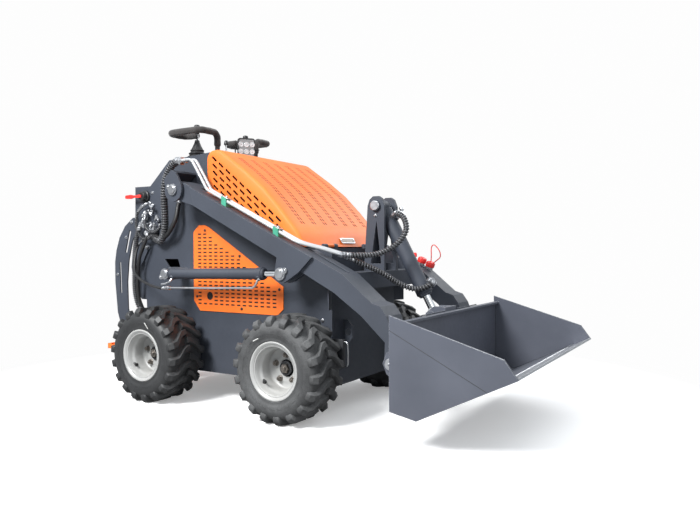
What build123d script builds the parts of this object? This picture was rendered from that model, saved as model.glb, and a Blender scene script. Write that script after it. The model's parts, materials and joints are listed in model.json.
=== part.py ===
from build123d import *
import math
import os

os.makedirs("parts", exist_ok=True)

# Compact stand-on skid steer loader.
# Millimetres. X forward to the bucket, Y to the machine's left, Z up from the ground.
# Everything is drawn from the point on the ground midway between the axles,
# and save() moves it so that the origin is under the middle of the machine.

# Chassis box
BODY_HALF = 285
PLATE = 8
FRONT_X = 530
REAR_X = -608
REAR_TOP_Z = 1058
BELLY_Z = 130
LEDGE_Z = 735
TOWER_FRONT_X = -183
TOWER_FRONT_Z = 1207
SHUT_GAP = 7
EYE_Z = 365
EYE_Y = 190
EYE_WALL = 12
EYE_REACH = 26
EYE_BORE_R = 16
REAR_EYE_Z = 265
REAR_EYE_Y = 100
REAR_EYE_BORE_R = 10
EAR_R = 56
EAR_PLATE = 12

# Running gear
WHEELBASE = 800
TYRE_GAP = 39
TYRE_R = 228.5
TYRE_WIDTH = 216
WHEEL_Y = BODY_HALF + TYRE_GAP + TYRE_WIDTH / 2
TREAD_STEPS = 36
LUG_RISE = 15
FLANGE_R = 122
SEAT_R = 101.6
RIM_HALF = 101
RIM_WALL = 5
DISC_OFFSET = 6
DISC_WALL = 8
HUB_R = 36
HUB_FLANGE_R = 60
HUB_REACH = 26
NUT_COUNT = 5
NUT_CIRCLE_R = 57
NUT_R = 9
MOTOR_R = 65
MOTOR_FLANGE_R = 95
MOTOR_FLANGE = 12

# Hood
HOOD_OVERHANG = 72
HOOD_HALF = BODY_HALF + HOOD_OVERHANG
HOOD_WALL = 6
HOOD_BEND_R = 18
HOOD_REAR_X = -138
HOOD_FOOT = (436, 742)
HOOD_TOP_Z = 1203
SKIRT_REAR_Z = 955
HOOD_CORNERS = [
    # x, z and bend radius, from the rear edge over the top to the foot
    (HOOD_REAR_X, SKIRT_REAR_Z, 0),
    (HOOD_REAR_X, HOOD_TOP_Z, 45),
    (-53, HOOD_TOP_Z, 80),
    (211, 1021, 1100),
    (405, 804, 150),
    (*HOOD_FOOT, 0),
]
FACET = math.radians(9)
HOOD_HINGE = (447, 747)
KNUCKLE_R = 9
HINGE_WIRE_R = 4
TURN_GAP = 0.3
KNUCKLE_Y = [
    # inner and outer end of each knuckle, and whose it is
    (120, 150 - TURN_GAP, "ledge"),
    (150, 200, "hood"),
    (200 + TURN_GAP, 230, "ledge"),
]

# Lift arms
ARM_GAP = 15
ARM_IN = BODY_HALF + ARM_GAP
CHORD_IN = HOOD_HALF + 7
ARM_CORE = CHORD_IN + 61
ARM_OUT = ARM_CORE + 15
EAR_Y = ARM_CORE + 6
PIVOT = (-268, 1017)
PIVOT_BOSS_R = 45
PIVOT_PIN_R = 20
HINGE = (900, 290)
HINGE_BOSS_R = 40
HINGE_PIN_R = 18
PIN_GAP = 0.3
FLAG_R = 27
FLAG_WALL = 8
FLAG_TIP_R = 12
FLAG_REACH = 30

# Lift cylinders
LIFT_BASE = (-356, 614.5)
LIFT_ROD = (371, 626.5)
LIFT_Y = ARM_CORE - 25
LIFT_BARREL_R = 25
LIFT_BARREL_END = 600
LIFT_BORE_START = 120
LIFT_EYE_R = 27
LIFT_EYE_WIDTH = 24
LIFT_ROD_R = 14
LIFT_PIN_R = 12.5

# Tilt tower and cylinder
TOWER_PIN = (625, 927)
TILT_PIN = (885, 445)
EAR_IN = 50
EAR_WALL = 16
TILT_BARREL_R = 34
TILT_BARREL_END = 450
TILT_ROD_R = 17
TILT_EYE_R = 28
TILT_EYE_WIDTH = 44
TILT_PIN_R = 15

# Bucket and its attachment plate
BUCKET_HALF = WHEEL_Y + TYRE_WIDTH / 2 + 27
LIP_X = 1432
BUCKET_WALL = 8
BUCKET_SIDE = 10
BACK_X = 960
ATTACH_X = 946
ATTACH_EAR = 12
ATTACH_HALF = ARM_CORE + 25

# Operator's end
PLATFORM_REAR_X = -1007
PLATFORM_HALF = BODY_HALF - 35
PLATFORM_HINGE = (-636, 193)
PLATFORM_PIN_R = 8
PLATFORM_Z = 180
PLATFORM_WALL = 6
HANDLE_R = 12.5
CONSOLE_Z = 1190
HANDLE_Z = CONSOLE_Z + 140
KNOB_Z = CONSOLE_Z + 162

X_CENTRE = (PLATFORM_REAR_X + LIP_X) / 2


# Helpers
def prism(points, y0, y1, holes=()):
    """A plate or block: an outline in the XZ plane between two Y planes."""
    def loop(corners):
        return Wire.make_polygon([Vector(x, y0, z) for x, z in corners], close=True)
    face = Face(loop(points), [loop(hole) for hole in holes])
    return extrude(face, amount=y1 - y0, dir=(0, 1, 0))


def block(x0, x1, y0, y1, z0, z1):
    return Pos((x0 + x1) / 2, (y0 + y1) / 2, (z0 + z1) / 2) * Box(x1 - x0, y1 - y0, z1 - z0)


def rod(start, end, radius):
    a, b = Vector(*start), Vector(*end)
    return Solid.make_cylinder(radius, (b - a).length, Plane(origin=a, z_dir=b - a))


def cross(centre, y0, y1, radius):
    """A round bar along Y about the point (x, z)."""
    low, high = min(y0, y1), max(y0, y1)
    return rod((centre[0], low, centre[1]), (centre[0], high, centre[1]), radius)


def pipe(points, radius, bends):
    path = FilletPolyline(*points, radius=bends)
    return sweep(Plane(origin=path @ 0, z_dir=path % 0) * Circle(radius), path=path)


def other_side(shape):
    return mirror(shape, about=Plane.XZ)


def both(shape):
    return [shape, other_side(shape)]


def save(name, *shapes):
    solids = [s.moved(Location((-X_CENTRE, 0, 0))) for shape in shapes for s in shape.solids()]
    export_step(solids[0] if len(solids) == 1 else Compound(children=solids), f"parts/{name}.step")


def along(start, end, distance):
    """The point at a distance from start on the line towards end, in (x, z)."""
    length = math.dist(start, end)
    share = distance / length
    return (start[0] + (end[0] - start[0]) * share, start[1] + (end[1] - start[1]) * share)


def bent(corners, inset=0):
    """Points along a closed outline of (x, z, bend radius), moved in except for its last edge."""
    edges = []
    for index, (x0, z0, _) in enumerate(corners):
        x1, z1, _ = corners[(index + 1) % len(corners)]
        length = math.dist((x0, z0), (x1, z1))
        dx, dz = (x1 - x0) / length, (z1 - z0) / length
        move = 0 if index == len(corners) - 1 else inset
        edges.append((x0 + dz * move, z0 - dx * move, dx, dz))
    points = []
    for index, (_, _, radius) in enumerate(corners):
        xa, za, ua, wa = edges[index - 1]
        xb, zb, ub, wb = edges[index]
        reach = ((xb - xa) * wb - (zb - za) * ub) / (ua * wb - wa * ub)
        x, z = xa + ua * reach, za + wa * reach
        turn = math.acos(ua * ub + wa * wb)
        steps = math.ceil(turn / FACET) if radius else 0
        bend = max(radius - inset, 0)
        start_x, start_z = x - ua * bend * math.tan(turn / 2), z - wa * bend * math.tan(turn / 2)
        for step in range(steps + 1):
            angle = turn * step / steps if steps else 0
            across, ahead = bend * (1 - math.cos(angle)), bend * math.sin(angle)
            points.append((start_x + ua * ahead + wa * across, start_z + wa * ahead - ua * across)
                          if steps else (x, z))
    return points


def flat_sided(polygons):
    faces = [Face(Wire.make_polygon([Vector(*point) for point in polygon], close=True))
             for polygon in polygons]
    return Solid(Shell(faces))


def skin(sections):
    """A solid with flat faces over a row of outlines, each a list of as many (x, y, z) points."""
    polygons = [sections[0], sections[-1]]
    for one, two in zip(sections, sections[1:]):
        for index in range(len(one)):
            polygons.append([one[index - 1], one[index], two[index], two[index - 1]])
    return flat_sided(polygons)


def hose(points, radius):
    """A hose through held points, its bends as wide as the shorter run beside each allows."""
    bends = []
    for before, corner, after in zip(points, points[1:], points[2:]):
        back, ahead = Vector(*corner) - Vector(*before), Vector(*after) - Vector(*corner)
        half_turn = math.radians(back.get_angle(ahead)) / 2
        bends.append(0.45 * min(back.length, ahead.length) / math.tan(half_turn))
    return pipe(points, radius, bends)


# Wheels, drawn about the Y axis with the outer side towards +Y
def ring(profile):
    wire = Wire.make_polygon([Vector(r, y, 0) for r, y in profile], close=True)
    return revolve(Face(wire), axis=Axis.Y, revolution_arc=360)


def rim_shape():
    seat_y = RIM_HALF - 6
    barrel = ring([(SEAT_R - RIM_WALL, -RIM_HALF), (FLANGE_R, -RIM_HALF), (FLANGE_R, -RIM_HALF + 4),
                   (SEAT_R, -seat_y), (SEAT_R, seat_y), (FLANGE_R, RIM_HALF - 4),
                   (FLANGE_R, RIM_HALF), (SEAT_R - RIM_WALL, RIM_HALF)])
    disc = rod((0, DISC_OFFSET - DISC_WALL, 0), (0, DISC_OFFSET, 0), SEAT_R - RIM_WALL / 2)
    flange = rod((0, -HUB_REACH, 0), (0, DISC_OFFSET - DISC_WALL, 0), HUB_FLANGE_R)
    cap = rod((0, DISC_OFFSET, 0), (0, DISC_OFFSET + 22, 0), HUB_R)
    shape = barrel + disc + flange + cap
    for index in range(NUT_COUNT):
        turn = math.radians(90 + index * 360 / NUT_COUNT)
        x, z = NUT_CIRCLE_R * math.cos(turn), NUT_CIRCLE_R * math.sin(turn)
        shape += rod((x, DISC_OFFSET, z), (x, DISC_OFFSET + 16, z), NUT_R)
    return shape


TYRE_RINGS = [
    # y, radius, steps by which the pattern runs ahead there, height of the lugs
    (RIM_HALF - 8, (SEAT_R + TURN_GAP) / math.cos(math.pi / TREAD_STEPS), 0, 0),
    (RIM_HALF - 6, FLANGE_R - 2, 0, 0),
    (TYRE_WIDTH / 2, 166, 0, 0),
    (TYRE_WIDTH / 2 - 3, 196, 0, 0),
    (TYRE_WIDTH / 2 - 16, TYRE_R - LUG_RISE, 0, LUG_RISE),
    (46, TYRE_R - LUG_RISE, 0.9, LUG_RISE),
    (10, TYRE_R - LUG_RISE, 1.5, LUG_RISE),
]
LUG_RINGS = (3, 6)


def tyre_shape():
    """A tyre of flat facets, its lugs on every second step, those of one side between the other's."""
    rings = TYRE_RINGS + [(-y, r, ahead, rise) for y, r, ahead, rise in reversed(TYRE_RINGS)]
    first, last = LUG_RINGS
    mirror_sum = len(rings) - 1

    def point(index, step, raised):
        y, r, ahead, rise = rings[index % len(rings)]
        angle = math.radians(-90) + 2 * math.pi * (step + ahead) / TREAD_STEPS
        r += rise if raised else 0
        return (r * math.cos(angle), y, r * math.sin(angle))

    triangles = []

    def add_quad(a, b, c, d):
        for corners in ((a, b, c), (a, c, d)):
            if len(set(corners)) == 3:
                triangles.append(corners)

    for step in range(TREAD_STEPS):
        for index in range(len(rings)):
            on_left = first <= index < last and step % 2 == 0
            on_right = first <= mirror_sum - 1 - index < last and step % 2 == 1
            raised = on_left or on_right
            add_quad(point(index, step, raised), point(index + 1, step, raised),
                     point(index + 1, step + 1, raised), point(index, step + 1, raised))
            for side_step in (step, step + 1) if raised else ():
                add_quad(point(index, side_step, False), point(index + 1, side_step, False),
                         point(index + 1, side_step, True), point(index, side_step, True))
            if raised and index in (last - 1, mirror_sum - last):
                end = last if index == last - 1 else mirror_sum - last
                add_quad(point(end, step, False), point(end, step + 1, False),
                         point(end, step + 1, True), point(end, step, True))
    return flat_sided(triangles)


WHEELS = [
    # name, side (-1 right, +1 left), x of the axle
    ("front_right", -1, WHEELBASE / 2),
    ("front_left", 1, WHEELBASE / 2),
    ("rear_right", -1, -WHEELBASE / 2),
    ("rear_left", 1, -WHEELBASE / 2),
]
rim = rim_shape()
tyre = tyre_shape()
motors = []
for name, side, axle_x in WHEELS:
    for label, shape in (("rim", rim), ("tyre", tyre)):
        turned = shape if side > 0 else other_side(shape)
        save(f"{label}_{name}", Pos(axle_x, side * WHEEL_Y, TYRE_R) * turned)
    reach = WHEEL_Y - HUB_REACH - TURN_GAP
    motors.append(cross((axle_x, TYRE_R), side * BODY_HALF, side * reach, MOTOR_R)
                  + cross((axle_x, TYRE_R), side * BODY_HALF,
                          side * (BODY_HALF + MOTOR_FLANGE), MOTOR_FLANGE_R))
save("wheel_motors", *motors)

# Chassis plates
side_outline = [(FRONT_X, BELLY_Z), (FRONT_X, LEDGE_Z), (HOOD_FOOT[0], LEDGE_Z),
                (HOOD_REAR_X, SKIRT_REAR_Z - SHUT_GAP), (TOWER_FRONT_X, SKIRT_REAR_Z - SHUT_GAP),
                (TOWER_FRONT_X, TOWER_FRONT_Z),
                (-463, 1189), (-606, 1065), (-722, 1066), (-725, 865), (-655, 790),
                (-640, 420), (REAR_X, BELLY_Z)]
hose_hole = [(-505, 685), (-406, 685), (-389, 644), (-470, 644)]
SERVICE_LOW = 470
SERVICE_BAYS = [
    # rear x, front x, top z at the rear, top z at the front
    (-262, -120, 800, 770),
    (-100, 50, 745, 655),
    (70, 215, 635, 550),
]
service_holes = [[(x0, SERVICE_LOW), (x0, z0), (x1, z1), (x1, SERVICE_LOW)]
                 for x0, x1, z0, z1 in SERVICE_BAYS]
side_plate = prism(side_outline, BODY_HALF - PLATE, BODY_HALF, [hose_hole] + service_holes)
save("side_plate_left", side_plate)
save("side_plate_right", other_side(side_plate))

# Shelf along each side, just under the hood's lower edge
shelf = prism([(HOOD_FOOT[0], LEDGE_Z), (HOOD_REAR_X, SKIRT_REAR_Z - SHUT_GAP),
               (HOOD_REAR_X, SKIRT_REAR_Z - SHUT_GAP - PLATE), (HOOD_FOOT[0] - 56, LEDGE_Z + 12 - PLATE),
               (HOOD_FOOT[0] - 56, LEDGE_Z - PLATE), (HOOD_FOOT[0] + 6, LEDGE_Z - PLATE),
               (HOOD_FOOT[0] + 6, LEDGE_Z)], BODY_HALF, HOOD_HALF - 7)
save("hood_shelves", *both(shelf))

# Outer ear of each arm pivot, on a strap that runs in over the arm to the side plate
ear_x, ear_z = PIVOT
ear = cross(PIVOT, EAR_Y, EAR_Y + EAR_PLATE, EAR_R)
ear += prism([(ear_x - 53, ear_z + 20), (ear_x - 62, ear_z + 51), (ear_x - 12, ear_z + 95),
              (ear_x + 17, ear_z + 81), (ear_x + 52, ear_z + 22)], EAR_Y, EAR_Y + EAR_PLATE)
ear += prism([(ear_x - 62, ear_z + 51), (ear_x - 12, ear_z + 95), (ear_x - 4, ear_z + 85),
              (ear_x - 54, ear_z + 41)], BODY_HALF, EAR_Y + EAR_PLATE)
ear -= cross(PIVOT, EAR_Y - 1, EAR_Y + EAR_PLATE + 1, PIVOT_PIN_R + PIN_GAP)
save("pivot_ears", *both(ear))

inner = BODY_HALF - PLATE
belly = block(REAR_X + PLATE, FRONT_X, -inner, inner, BELLY_Z, BELLY_Z + PLATE)
cradle_z = 300
for x in (-120, 300):
    belly += block(x - 25, x + 25, -inner, inner, BELLY_Z + PLATE, cradle_z)
save("belly_plate", belly)
front = block(FRONT_X - PLATE, FRONT_X, -inner, inner, BELLY_Z + PLATE, LEDGE_Z)
front += block(HOOD_FOOT[0] - 36, FRONT_X - PLATE, -inner, inner, LEDGE_Z - PLATE, LEDGE_Z)
eye = prism([(FRONT_X, EYE_Z - 55), (FRONT_X + 22, EYE_Z - 55), (FRONT_X + 48, EYE_Z - 25),
             (FRONT_X + 48, EYE_Z + 25), (FRONT_X + 22, EYE_Z + 55), (FRONT_X, EYE_Z + 55)],
            EYE_Y - EYE_WALL / 2, EYE_Y + EYE_WALL / 2)
eye -= cross((FRONT_X + EYE_REACH, EYE_Z), EYE_Y - EYE_WALL, EYE_Y + EYE_WALL, EYE_BORE_R)
front += eye + other_side(eye)
for y0, y1, owner in KNUCKLE_Y:
    if owner == "ledge":
        knuckle = cross(HOOD_HINGE, y0, y1, KNUCKLE_R)
        knuckle += block(HOOD_HINGE[0] - 5, HOOD_HINGE[0] + KNUCKLE_R, y0, y1, LEDGE_Z, HOOD_HINGE[1])
        front += knuckle + other_side(knuckle)
hinge_wire = cross(HOOD_HINGE, KNUCKLE_Y[0][0], KNUCKLE_Y[-1][1], HINGE_WIRE_R)
front += hinge_wire + other_side(hinge_wire)
save("front_plate", front)
rear = block(REAR_X, REAR_X + PLATE, -inner, inner, BELLY_Z, REAR_TOP_Z)
lug = prism([(REAR_X, 176), (PLATFORM_HINGE[0] - 14, 176), (PLATFORM_HINGE[0] - 14, 210), (REAR_X, 210)],
            PLATFORM_HALF + 2, PLATFORM_HALF + 12)
lug += cross(PLATFORM_HINGE, PLATFORM_HALF - 12, PLATFORM_HALF + 12, PLATFORM_PIN_R)
rear_eye = block(REAR_X - 32, REAR_X, REAR_EYE_Y - EYE_WALL / 2, REAR_EYE_Y + EYE_WALL / 2,
                 REAR_EYE_Z - 25, REAR_EYE_Z + 25)
rear_eye -= cross((REAR_X - 15, REAR_EYE_Z), REAR_EYE_Y - EYE_WALL, REAR_EYE_Y + EYE_WALL, REAR_EYE_BORE_R)
lug += rear_eye
save("rear_plate", rear + lug + other_side(lug))
save("engine_block", block(-190, 350, -190, 190, cradle_z, 700) + block(-150, 150, -150, 150, 700, 930))

console = prism([(-722, 1066), (-606, 1065), (-463, CONSOLE_Z), (TOWER_FRONT_X, CONSOLE_Z),
                 (TOWER_FRONT_X, SKIRT_REAR_Z - SHUT_GAP), (TOWER_FRONT_X - 6, SKIRT_REAR_Z - SHUT_GAP),
                 (TOWER_FRONT_X - 6, CONSOLE_Z - 6), (-461, CONSOLE_Z - 6),
                 (-604, REAR_TOP_Z + 1), (-722, REAR_TOP_Z + 2)], -inner, inner)
save("console_top", console)

# Service panels with rows of slots and one round hole
panel_outline = [(-250, 430), (235, 430), (268, 460), (268, 561), (-190, 842), (-215, 852),
                 (-255, 852), (-292, 820), (-292, 480)]
PANEL_WALL = 4
PORT = (-184, 505)
PORT_R = 20


def inside_panel(x, z):
    low = 452 <= z and -270 <= x <= 238
    sloped = z <= 842 - (x + 190) * (842 - 561) / 458 - 42
    near_port = abs(x - PORT[0]) < PORT_R + 16 and abs(z - PORT[1]) < PORT_R + 5
    return low and sloped and z < 826 and not near_port


slots = []
for row in range(21):
    for column in range(15):
        x, z = -251 + column * 36, 466 + row * 18
        if inside_panel(x, z):
            slots.append([(x - 11, z - 3.5), (x + 11, z - 3.5), (x + 11, z + 3.5), (x - 11, z + 3.5)])
panel = prism(panel_outline, BODY_HALF, BODY_HALF + PANEL_WALL, slots)
panel -= cross(PORT, BODY_HALF - 1, BODY_HALF + PANEL_WALL + 1, PORT_R)
save("side_panel_left", panel)
save("side_panel_right", other_side(panel))

# Hood, hinged on the ledge at its foot
def hood_skin(corners, half, wall, bend):
    """The hood's outline carried across, its long edges rounded."""
    sections = []
    for step in range(4):
        angle = math.pi / 2 * step / 3
        y = half - bend + bend * math.sin(angle)
        sections.append([(x, y, z) for x, z in bent(corners, wall + bend - bend * math.cos(angle))])
    far = [[(x, -y, z) for x, y, z in section] for section in sections]
    return skin(far[::-1] + sections)


foot_x, foot_z = HOOD_FOOT
opening = [(HOOD_REAR_X, SKIRT_REAR_Z - 40, 0), *HOOD_CORNERS[1:-1], (foot_x + 20, foot_z - 40, 0)]
hood = hood_skin(HOOD_CORNERS, HOOD_HALF, 0, HOOD_BEND_R)
hood -= hood_skin(opening, HOOD_HALF - HOOD_WALL, HOOD_WALL, HOOD_BEND_R - HOOD_WALL)

SIDE_ROWS = [
    # first and last of its slots, counted forward along the row
    (0, 10), (0, 10), (0, 9), (0, 8), (0, 6),
]
SIDE_STEP = (42, -32.5)
SIDE_ROW_DROP = 33.5
dashes = []
for row, (first, last) in enumerate(SIDE_ROWS):
    for count in range(first, last):
        x = -82 + count * SIDE_STEP[0] + row * 2
        z = 1158 + count * SIDE_STEP[1] - row * SIDE_ROW_DROP
        dashes.append(prism([(x - 16, z + 8), (x - 10, z + 15), (x + 16, z - 8), (x + 10, z - 15)],
                            -HOOD_HALF - 1, HOOD_HALF + 1))
TOP_ROWS_Y = (-270, -180, -90, 0, 90, 180, 270)
TOP_SLOTS = 24
for row_y in TOP_ROWS_Y:
    for y in (row_y - 9, row_y + 9):
        for count in range(TOP_SLOTS):
            x = 6 + count * 15.5
            corners = [(x - 5, y - 6.5), (x + 5, y - 1), (x + 5, y + 6.5), (x - 5, y + 1)]
            wire = Wire.make_polygon([Vector(a, b, foot_z) for a, b in corners], close=True)
            dashes.append(extrude(Face(wire), amount=500, dir=(0, 0, 1)))
hood = hood.cut(*[solid for dash in dashes for solid in dash.solids()])
for y0, y1, owner in KNUCKLE_Y:
    if owner == "hood":
        knuckle = cross(HOOD_HINGE, y0, y1, KNUCKLE_R)
        knuckle += block(foot_x - 6, HOOD_HINGE[0], y0, y1, HOOD_HINGE[1] - 4, HOOD_HINGE[1] + 4)
        hood = hood + knuckle + other_side(knuckle)
hood -= cross(HOOD_HINGE, -230, 230, HINGE_WIRE_R + TURN_GAP)
save("hood", hood)

# Operator's guards, handles and controls
guard_outline = [(-700, 905), (-737, 903), (-800, 860), (-845, 800), (-872, 730), (-884, 667),
                 (-884, 560), (-866, 394), (-800, 215), (-600, 175), (-600, 235), (-745, 265),
                 (-782, 420), (-786, 560), (-773, 678), (-741, 787), (-688, 850)]
guard_slots = [[(-842, 500), (-830, 500), (-836, 665), (-848, 665)],
               [(-800, 720), (-786, 715), (-752, 830), (-766, 838)]]
guard = prism(guard_outline, BODY_HALF, BODY_HALF + 7, guard_slots)
save("rear_guards", *both(guard))

grip_in, grip_out = BODY_HALF - 135, BODY_HALF - 15
handle = pipe([(-257, grip_in, CONSOLE_Z), (-257, grip_in, HANDLE_Z), (-257, grip_out, HANDLE_Z),
               (-482, grip_out, HANDLE_Z), (-482, grip_in, HANDLE_Z), (-400, grip_in, HANDLE_Z)],
              HANDLE_R, [40, 40, 45, 45])
save("grab_handles", *both(handle))


BOOT_STEPS = [
    # height of its foot above the console, radius at the foot and at the top
    (0, 50, 38),
    (27, 46, 32),
    (54, 38, 22),
    (78, 28, 12),
]
BOOT_STEP = 28


def joystick(y):
    stem = rod((-362, y, CONSOLE_Z + 95), (-362, y, KNOB_Z), 7)
    knob = fillet((Pos(-362, y, KNOB_Z) * Cylinder(15, 44)).edges(), 6)
    boot = [Pos(-362, y, CONSOLE_Z + foot + BOOT_STEP / 2) * Cone(low, high, BOOT_STEP)
            for foot, low, high in BOOT_STEPS]
    return Solid.fuse(boot[0], *boot[1:], stem, knob)


save("joysticks", joystick(-188), joystick(188))
lever_top = CONSOLE_Z + 110
throttle = rod((-335, 0, CONSOLE_Z), (-335, 0, lever_top), 5) + rod((-335, 0, lever_top - 4), (-335, 0, lever_top + 22), 10)
save("throttle_lever", throttle)

lamp_at = Pos(-240, 48, CONSOLE_Z + 82) * Rot(0, 0, -38)
lamp = lamp_at * fillet(Box(50, 106, 92).edges(), 9)
for row in (-1, 1):
    for column in (-1, 0, 1):
        lamp += lamp_at * Pos(26, column * 32, row * 21) * Rot(0, 90, 0) * Cylinder(13, 6)
lamp += block(-262, -218, 20, 76, CONSOLE_Z, CONSOLE_Z + 8)
lamp += rod((-240, 48, CONSOLE_Z), (-240, 48, CONSOLE_Z + 40), 9)
save("work_lamp", lamp)

# Fold-up stand at the back
hinge_x, hinge_z = PLATFORM_HINGE
stand = block(PLATFORM_REAR_X, hinge_x - 4, -PLATFORM_HALF, PLATFORM_HALF,
              PLATFORM_Z, PLATFORM_Z + PLATFORM_WALL)
cheek = prism([(PLATFORM_REAR_X + 20, PLATFORM_Z), (hinge_x + 14, PLATFORM_Z), (hinge_x + 14, hinge_z + 14),
               (hinge_x - 24, hinge_z + 21), (PLATFORM_REAR_X + 60, hinge_z + 21)],
              PLATFORM_HALF - PLATFORM_WALL, PLATFORM_HALF)
stand += cheek + other_side(cheek)
stand -= cross(PLATFORM_HINGE, -PLATFORM_HALF - 1, PLATFORM_HALF + 1, PLATFORM_PIN_R + PIN_GAP)
save("stand_platform", stand)

# Lift arms: a chord past the hood, wider at the pivot hub and at the front leg
pivot_top = (PIVOT[0] + 12, PIVOT[1] + 43)
pivot_low = (PIVOT[0] - 18, PIVOT[1] - 41)
front_leg = [(671, 630), (806, 519), (845, 507), (872, 470), (938, 305), (934, 270), (862, 278),
             (866, 368), (761, 464), (632, 553)]
arm = prism([pivot_top, (-203, 1043), *front_leg, (358, 692), (-133, 933), pivot_low], CHORD_IN, ARM_CORE)
arm += prism([pivot_top, (-203, 1043), (-165, 1025), (-165, 949), pivot_low], ARM_IN, CHORD_IN)
arm += prism([(462, 729), *front_leg, (462, 639)], ARM_IN, CHORD_IN)
arm += cross(PIVOT, ARM_IN, ARM_CORE, PIVOT_BOSS_R) + cross(HINGE, ARM_IN, ARM_CORE, HINGE_BOSS_R)
rod_end = [(465, 635), (395, 592), (371, 586), (345, 596)]
arm += prism([(-165, 1024), (530, 697), *rod_end, (336, 620), (350, 697), (-133, 933)], ARM_CORE, ARM_OUT)
arm += prism([(500, 650), *rod_end, (330, 630), (330, 715)], CHORD_IN, LIFT_Y - 18)
arm -= cross(PIVOT, ARM_IN - 1, ARM_OUT + 1, PIVOT_PIN_R + PIN_GAP)
arm -= cross(HINGE, ARM_IN - 1, ARM_OUT + 1, HINGE_PIN_R + PIN_GAP)
save("lift_arm_left", arm)
save("lift_arm_right", other_side(arm))

# Steel tubes on the right arm, in two clamps
TUBE_R = 7
TUBE_ROUTE = [
    # x, y and z of the outer tube; the inner one runs beside it
    (-205, -410, 1152), (-185, -410, 1148), (-62, -410, 1002), (400, -410, 779), (560, -338, 722),
    (600, -318, 708),
]
TUBE_PITCH = 18
tubes = []
for pitch in (0, TUBE_PITCH):
    tubes.append(hose([(x + pitch / 2, y + pitch, z) for x, y, z in TUBE_ROUTE], TUBE_R))
save("arm_tubes", *tubes)
CLAMPS_X = (33, 330)


def arm_top_z(x):
    return 1043 + (x + 203) * (630 - 1043) / (671 + 203)


run_start, run_end = TUBE_ROUTE[2], TUBE_ROUTE[3]
slope = (run_end[2] - run_start[2]) / (run_end[0] - run_start[0])
clamps = []
for x in CLAMPS_X:
    z = run_start[2] + slope * (x - run_start[0])
    clamp = prism([(x - 14, arm_top_z(x - 14)), (x + 14, arm_top_z(x + 14)), (x + 14, z + 12 + 14 * slope),
                   (x - 14, z + 12 - 14 * slope)], run_start[1] - 12, run_start[1] + TUBE_PITCH + 12)
    for tube in tubes:
        clamp -= tube
    clamps.append(clamp)
save("tube_clamps", *clamps)

beam = block(560, 668, -ARM_IN, ARM_IN, 560, 632)
save("cross_beam", beam)
tower_ear = prism([(605, 632), (668, 632), (668, 927), (655, 960), (640, 970), (610, 970),
                   (592, 955), (582, 927), (562, 632)], EAR_IN, EAR_IN + EAR_WALL,
                  [[(628, 860), (598, 665), (652, 665)]])
tower_web = prism([(562, 632), (572, 632), (580, 850), (572, 850)], -EAR_IN, EAR_IN)
tower = tower_ear + other_side(tower_ear) + tower_web
save("tilt_tower", tower - cross(TOWER_PIN, -EAR_IN - EAR_WALL - 1, EAR_IN + EAR_WALL + 1, TILT_PIN_R))


# Pins, each with its teardrop flag outside
def flag(centre, y, tip_angle):
    """A round plate on a pin's end with a lug towards one side, where its bolt holds it from turning."""
    tip = math.radians(tip_angle)
    side_x, side_z = -math.sin(tip) * FLAG_TIP_R, math.cos(tip) * FLAG_TIP_R
    far_x = centre[0] + math.cos(tip) * FLAG_REACH
    far_z = centre[1] + math.sin(tip) * FLAG_REACH
    lug = prism([(centre[0] + side_x * 1.5, centre[1] + side_z * 1.5), (far_x + side_x, far_z + side_z),
                 (far_x - side_x, far_z - side_z), (centre[0] - side_x * 1.5, centre[1] - side_z * 1.5)],
                y, y + FLAG_WALL)
    return cross(centre, y, y + FLAG_WALL, FLAG_R) + lug + cross((far_x, far_z), y, y + FLAG_WALL, FLAG_TIP_R)


ear_out = EAR_Y + EAR_PLATE
pivot_pin = cross(PIVOT, BODY_HALF, ARM_IN - 2, 34) + cross(PIVOT, ARM_IN - 2, ear_out, PIVOT_PIN_R)
pivot_pin += flag(PIVOT, ear_out, 150)
eye_in, eye_out = LIFT_Y - LIFT_EYE_WIDTH / 2, LIFT_Y + LIFT_EYE_WIDTH / 2
base_pin = cross(LIFT_BASE, BODY_HALF, eye_in - 2, 30) + cross(LIFT_BASE, eye_in - 2, eye_out + 2, LIFT_PIN_R)
base_pin += flag(LIFT_BASE, eye_out + 2, 210)
save("pivot_pins", *both(pivot_pin))
save("cylinder_base_pins", *both(base_pin))
rod_pin = flag(LIFT_ROD, ARM_OUT, 30)
for y0, y1 in ((LIFT_Y - 18, eye_in - 2), (eye_out + 2, ARM_CORE)):
    rod_pin += cross(LIFT_ROD, y0, y1, LIFT_PIN_R)
tower_pin = cross(TOWER_PIN, -EAR_IN - EAR_WALL - 6, EAR_IN + EAR_WALL + 6, TILT_PIN_R)
save("arm_pins", tower_pin, *both(rod_pin))

# Lift cylinders
def lift_point(distance):
    x, z = along(LIFT_BASE, LIFT_ROD, distance)
    return (x, LIFT_Y, z)


barrel = rod(lift_point(LIFT_EYE_R - 6), lift_point(LIFT_BARREL_END), LIFT_BARREL_R)
barrel += rod(lift_point(LIFT_BARREL_END - 30), lift_point(LIFT_BARREL_END), LIFT_BARREL_R + 3)
barrel += cross(LIFT_BASE, eye_in, eye_out, LIFT_EYE_R)
barrel -= cross(LIFT_BASE, eye_in - 9, eye_out + 9, LIFT_PIN_R + PIN_GAP)
barrel -= rod(lift_point(LIFT_BORE_START), lift_point(LIFT_BARREL_END + 1), LIFT_ROD_R + PIN_GAP)
barrel -= block(LIFT_BASE[0] - 40, LIFT_BASE[0] + LIFT_EYE_R + 4, eye_out, eye_out + 40,
                LIFT_BASE[1] - 45, LIFT_BASE[1] + 45)
barrel -= block(LIFT_BASE[0] - 40, LIFT_BASE[0] + LIFT_EYE_R + 4, eye_in - 40, eye_in,
                LIFT_BASE[1] - 45, LIFT_BASE[1] + 45)
save("lift_barrels", *both(barrel))
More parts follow.
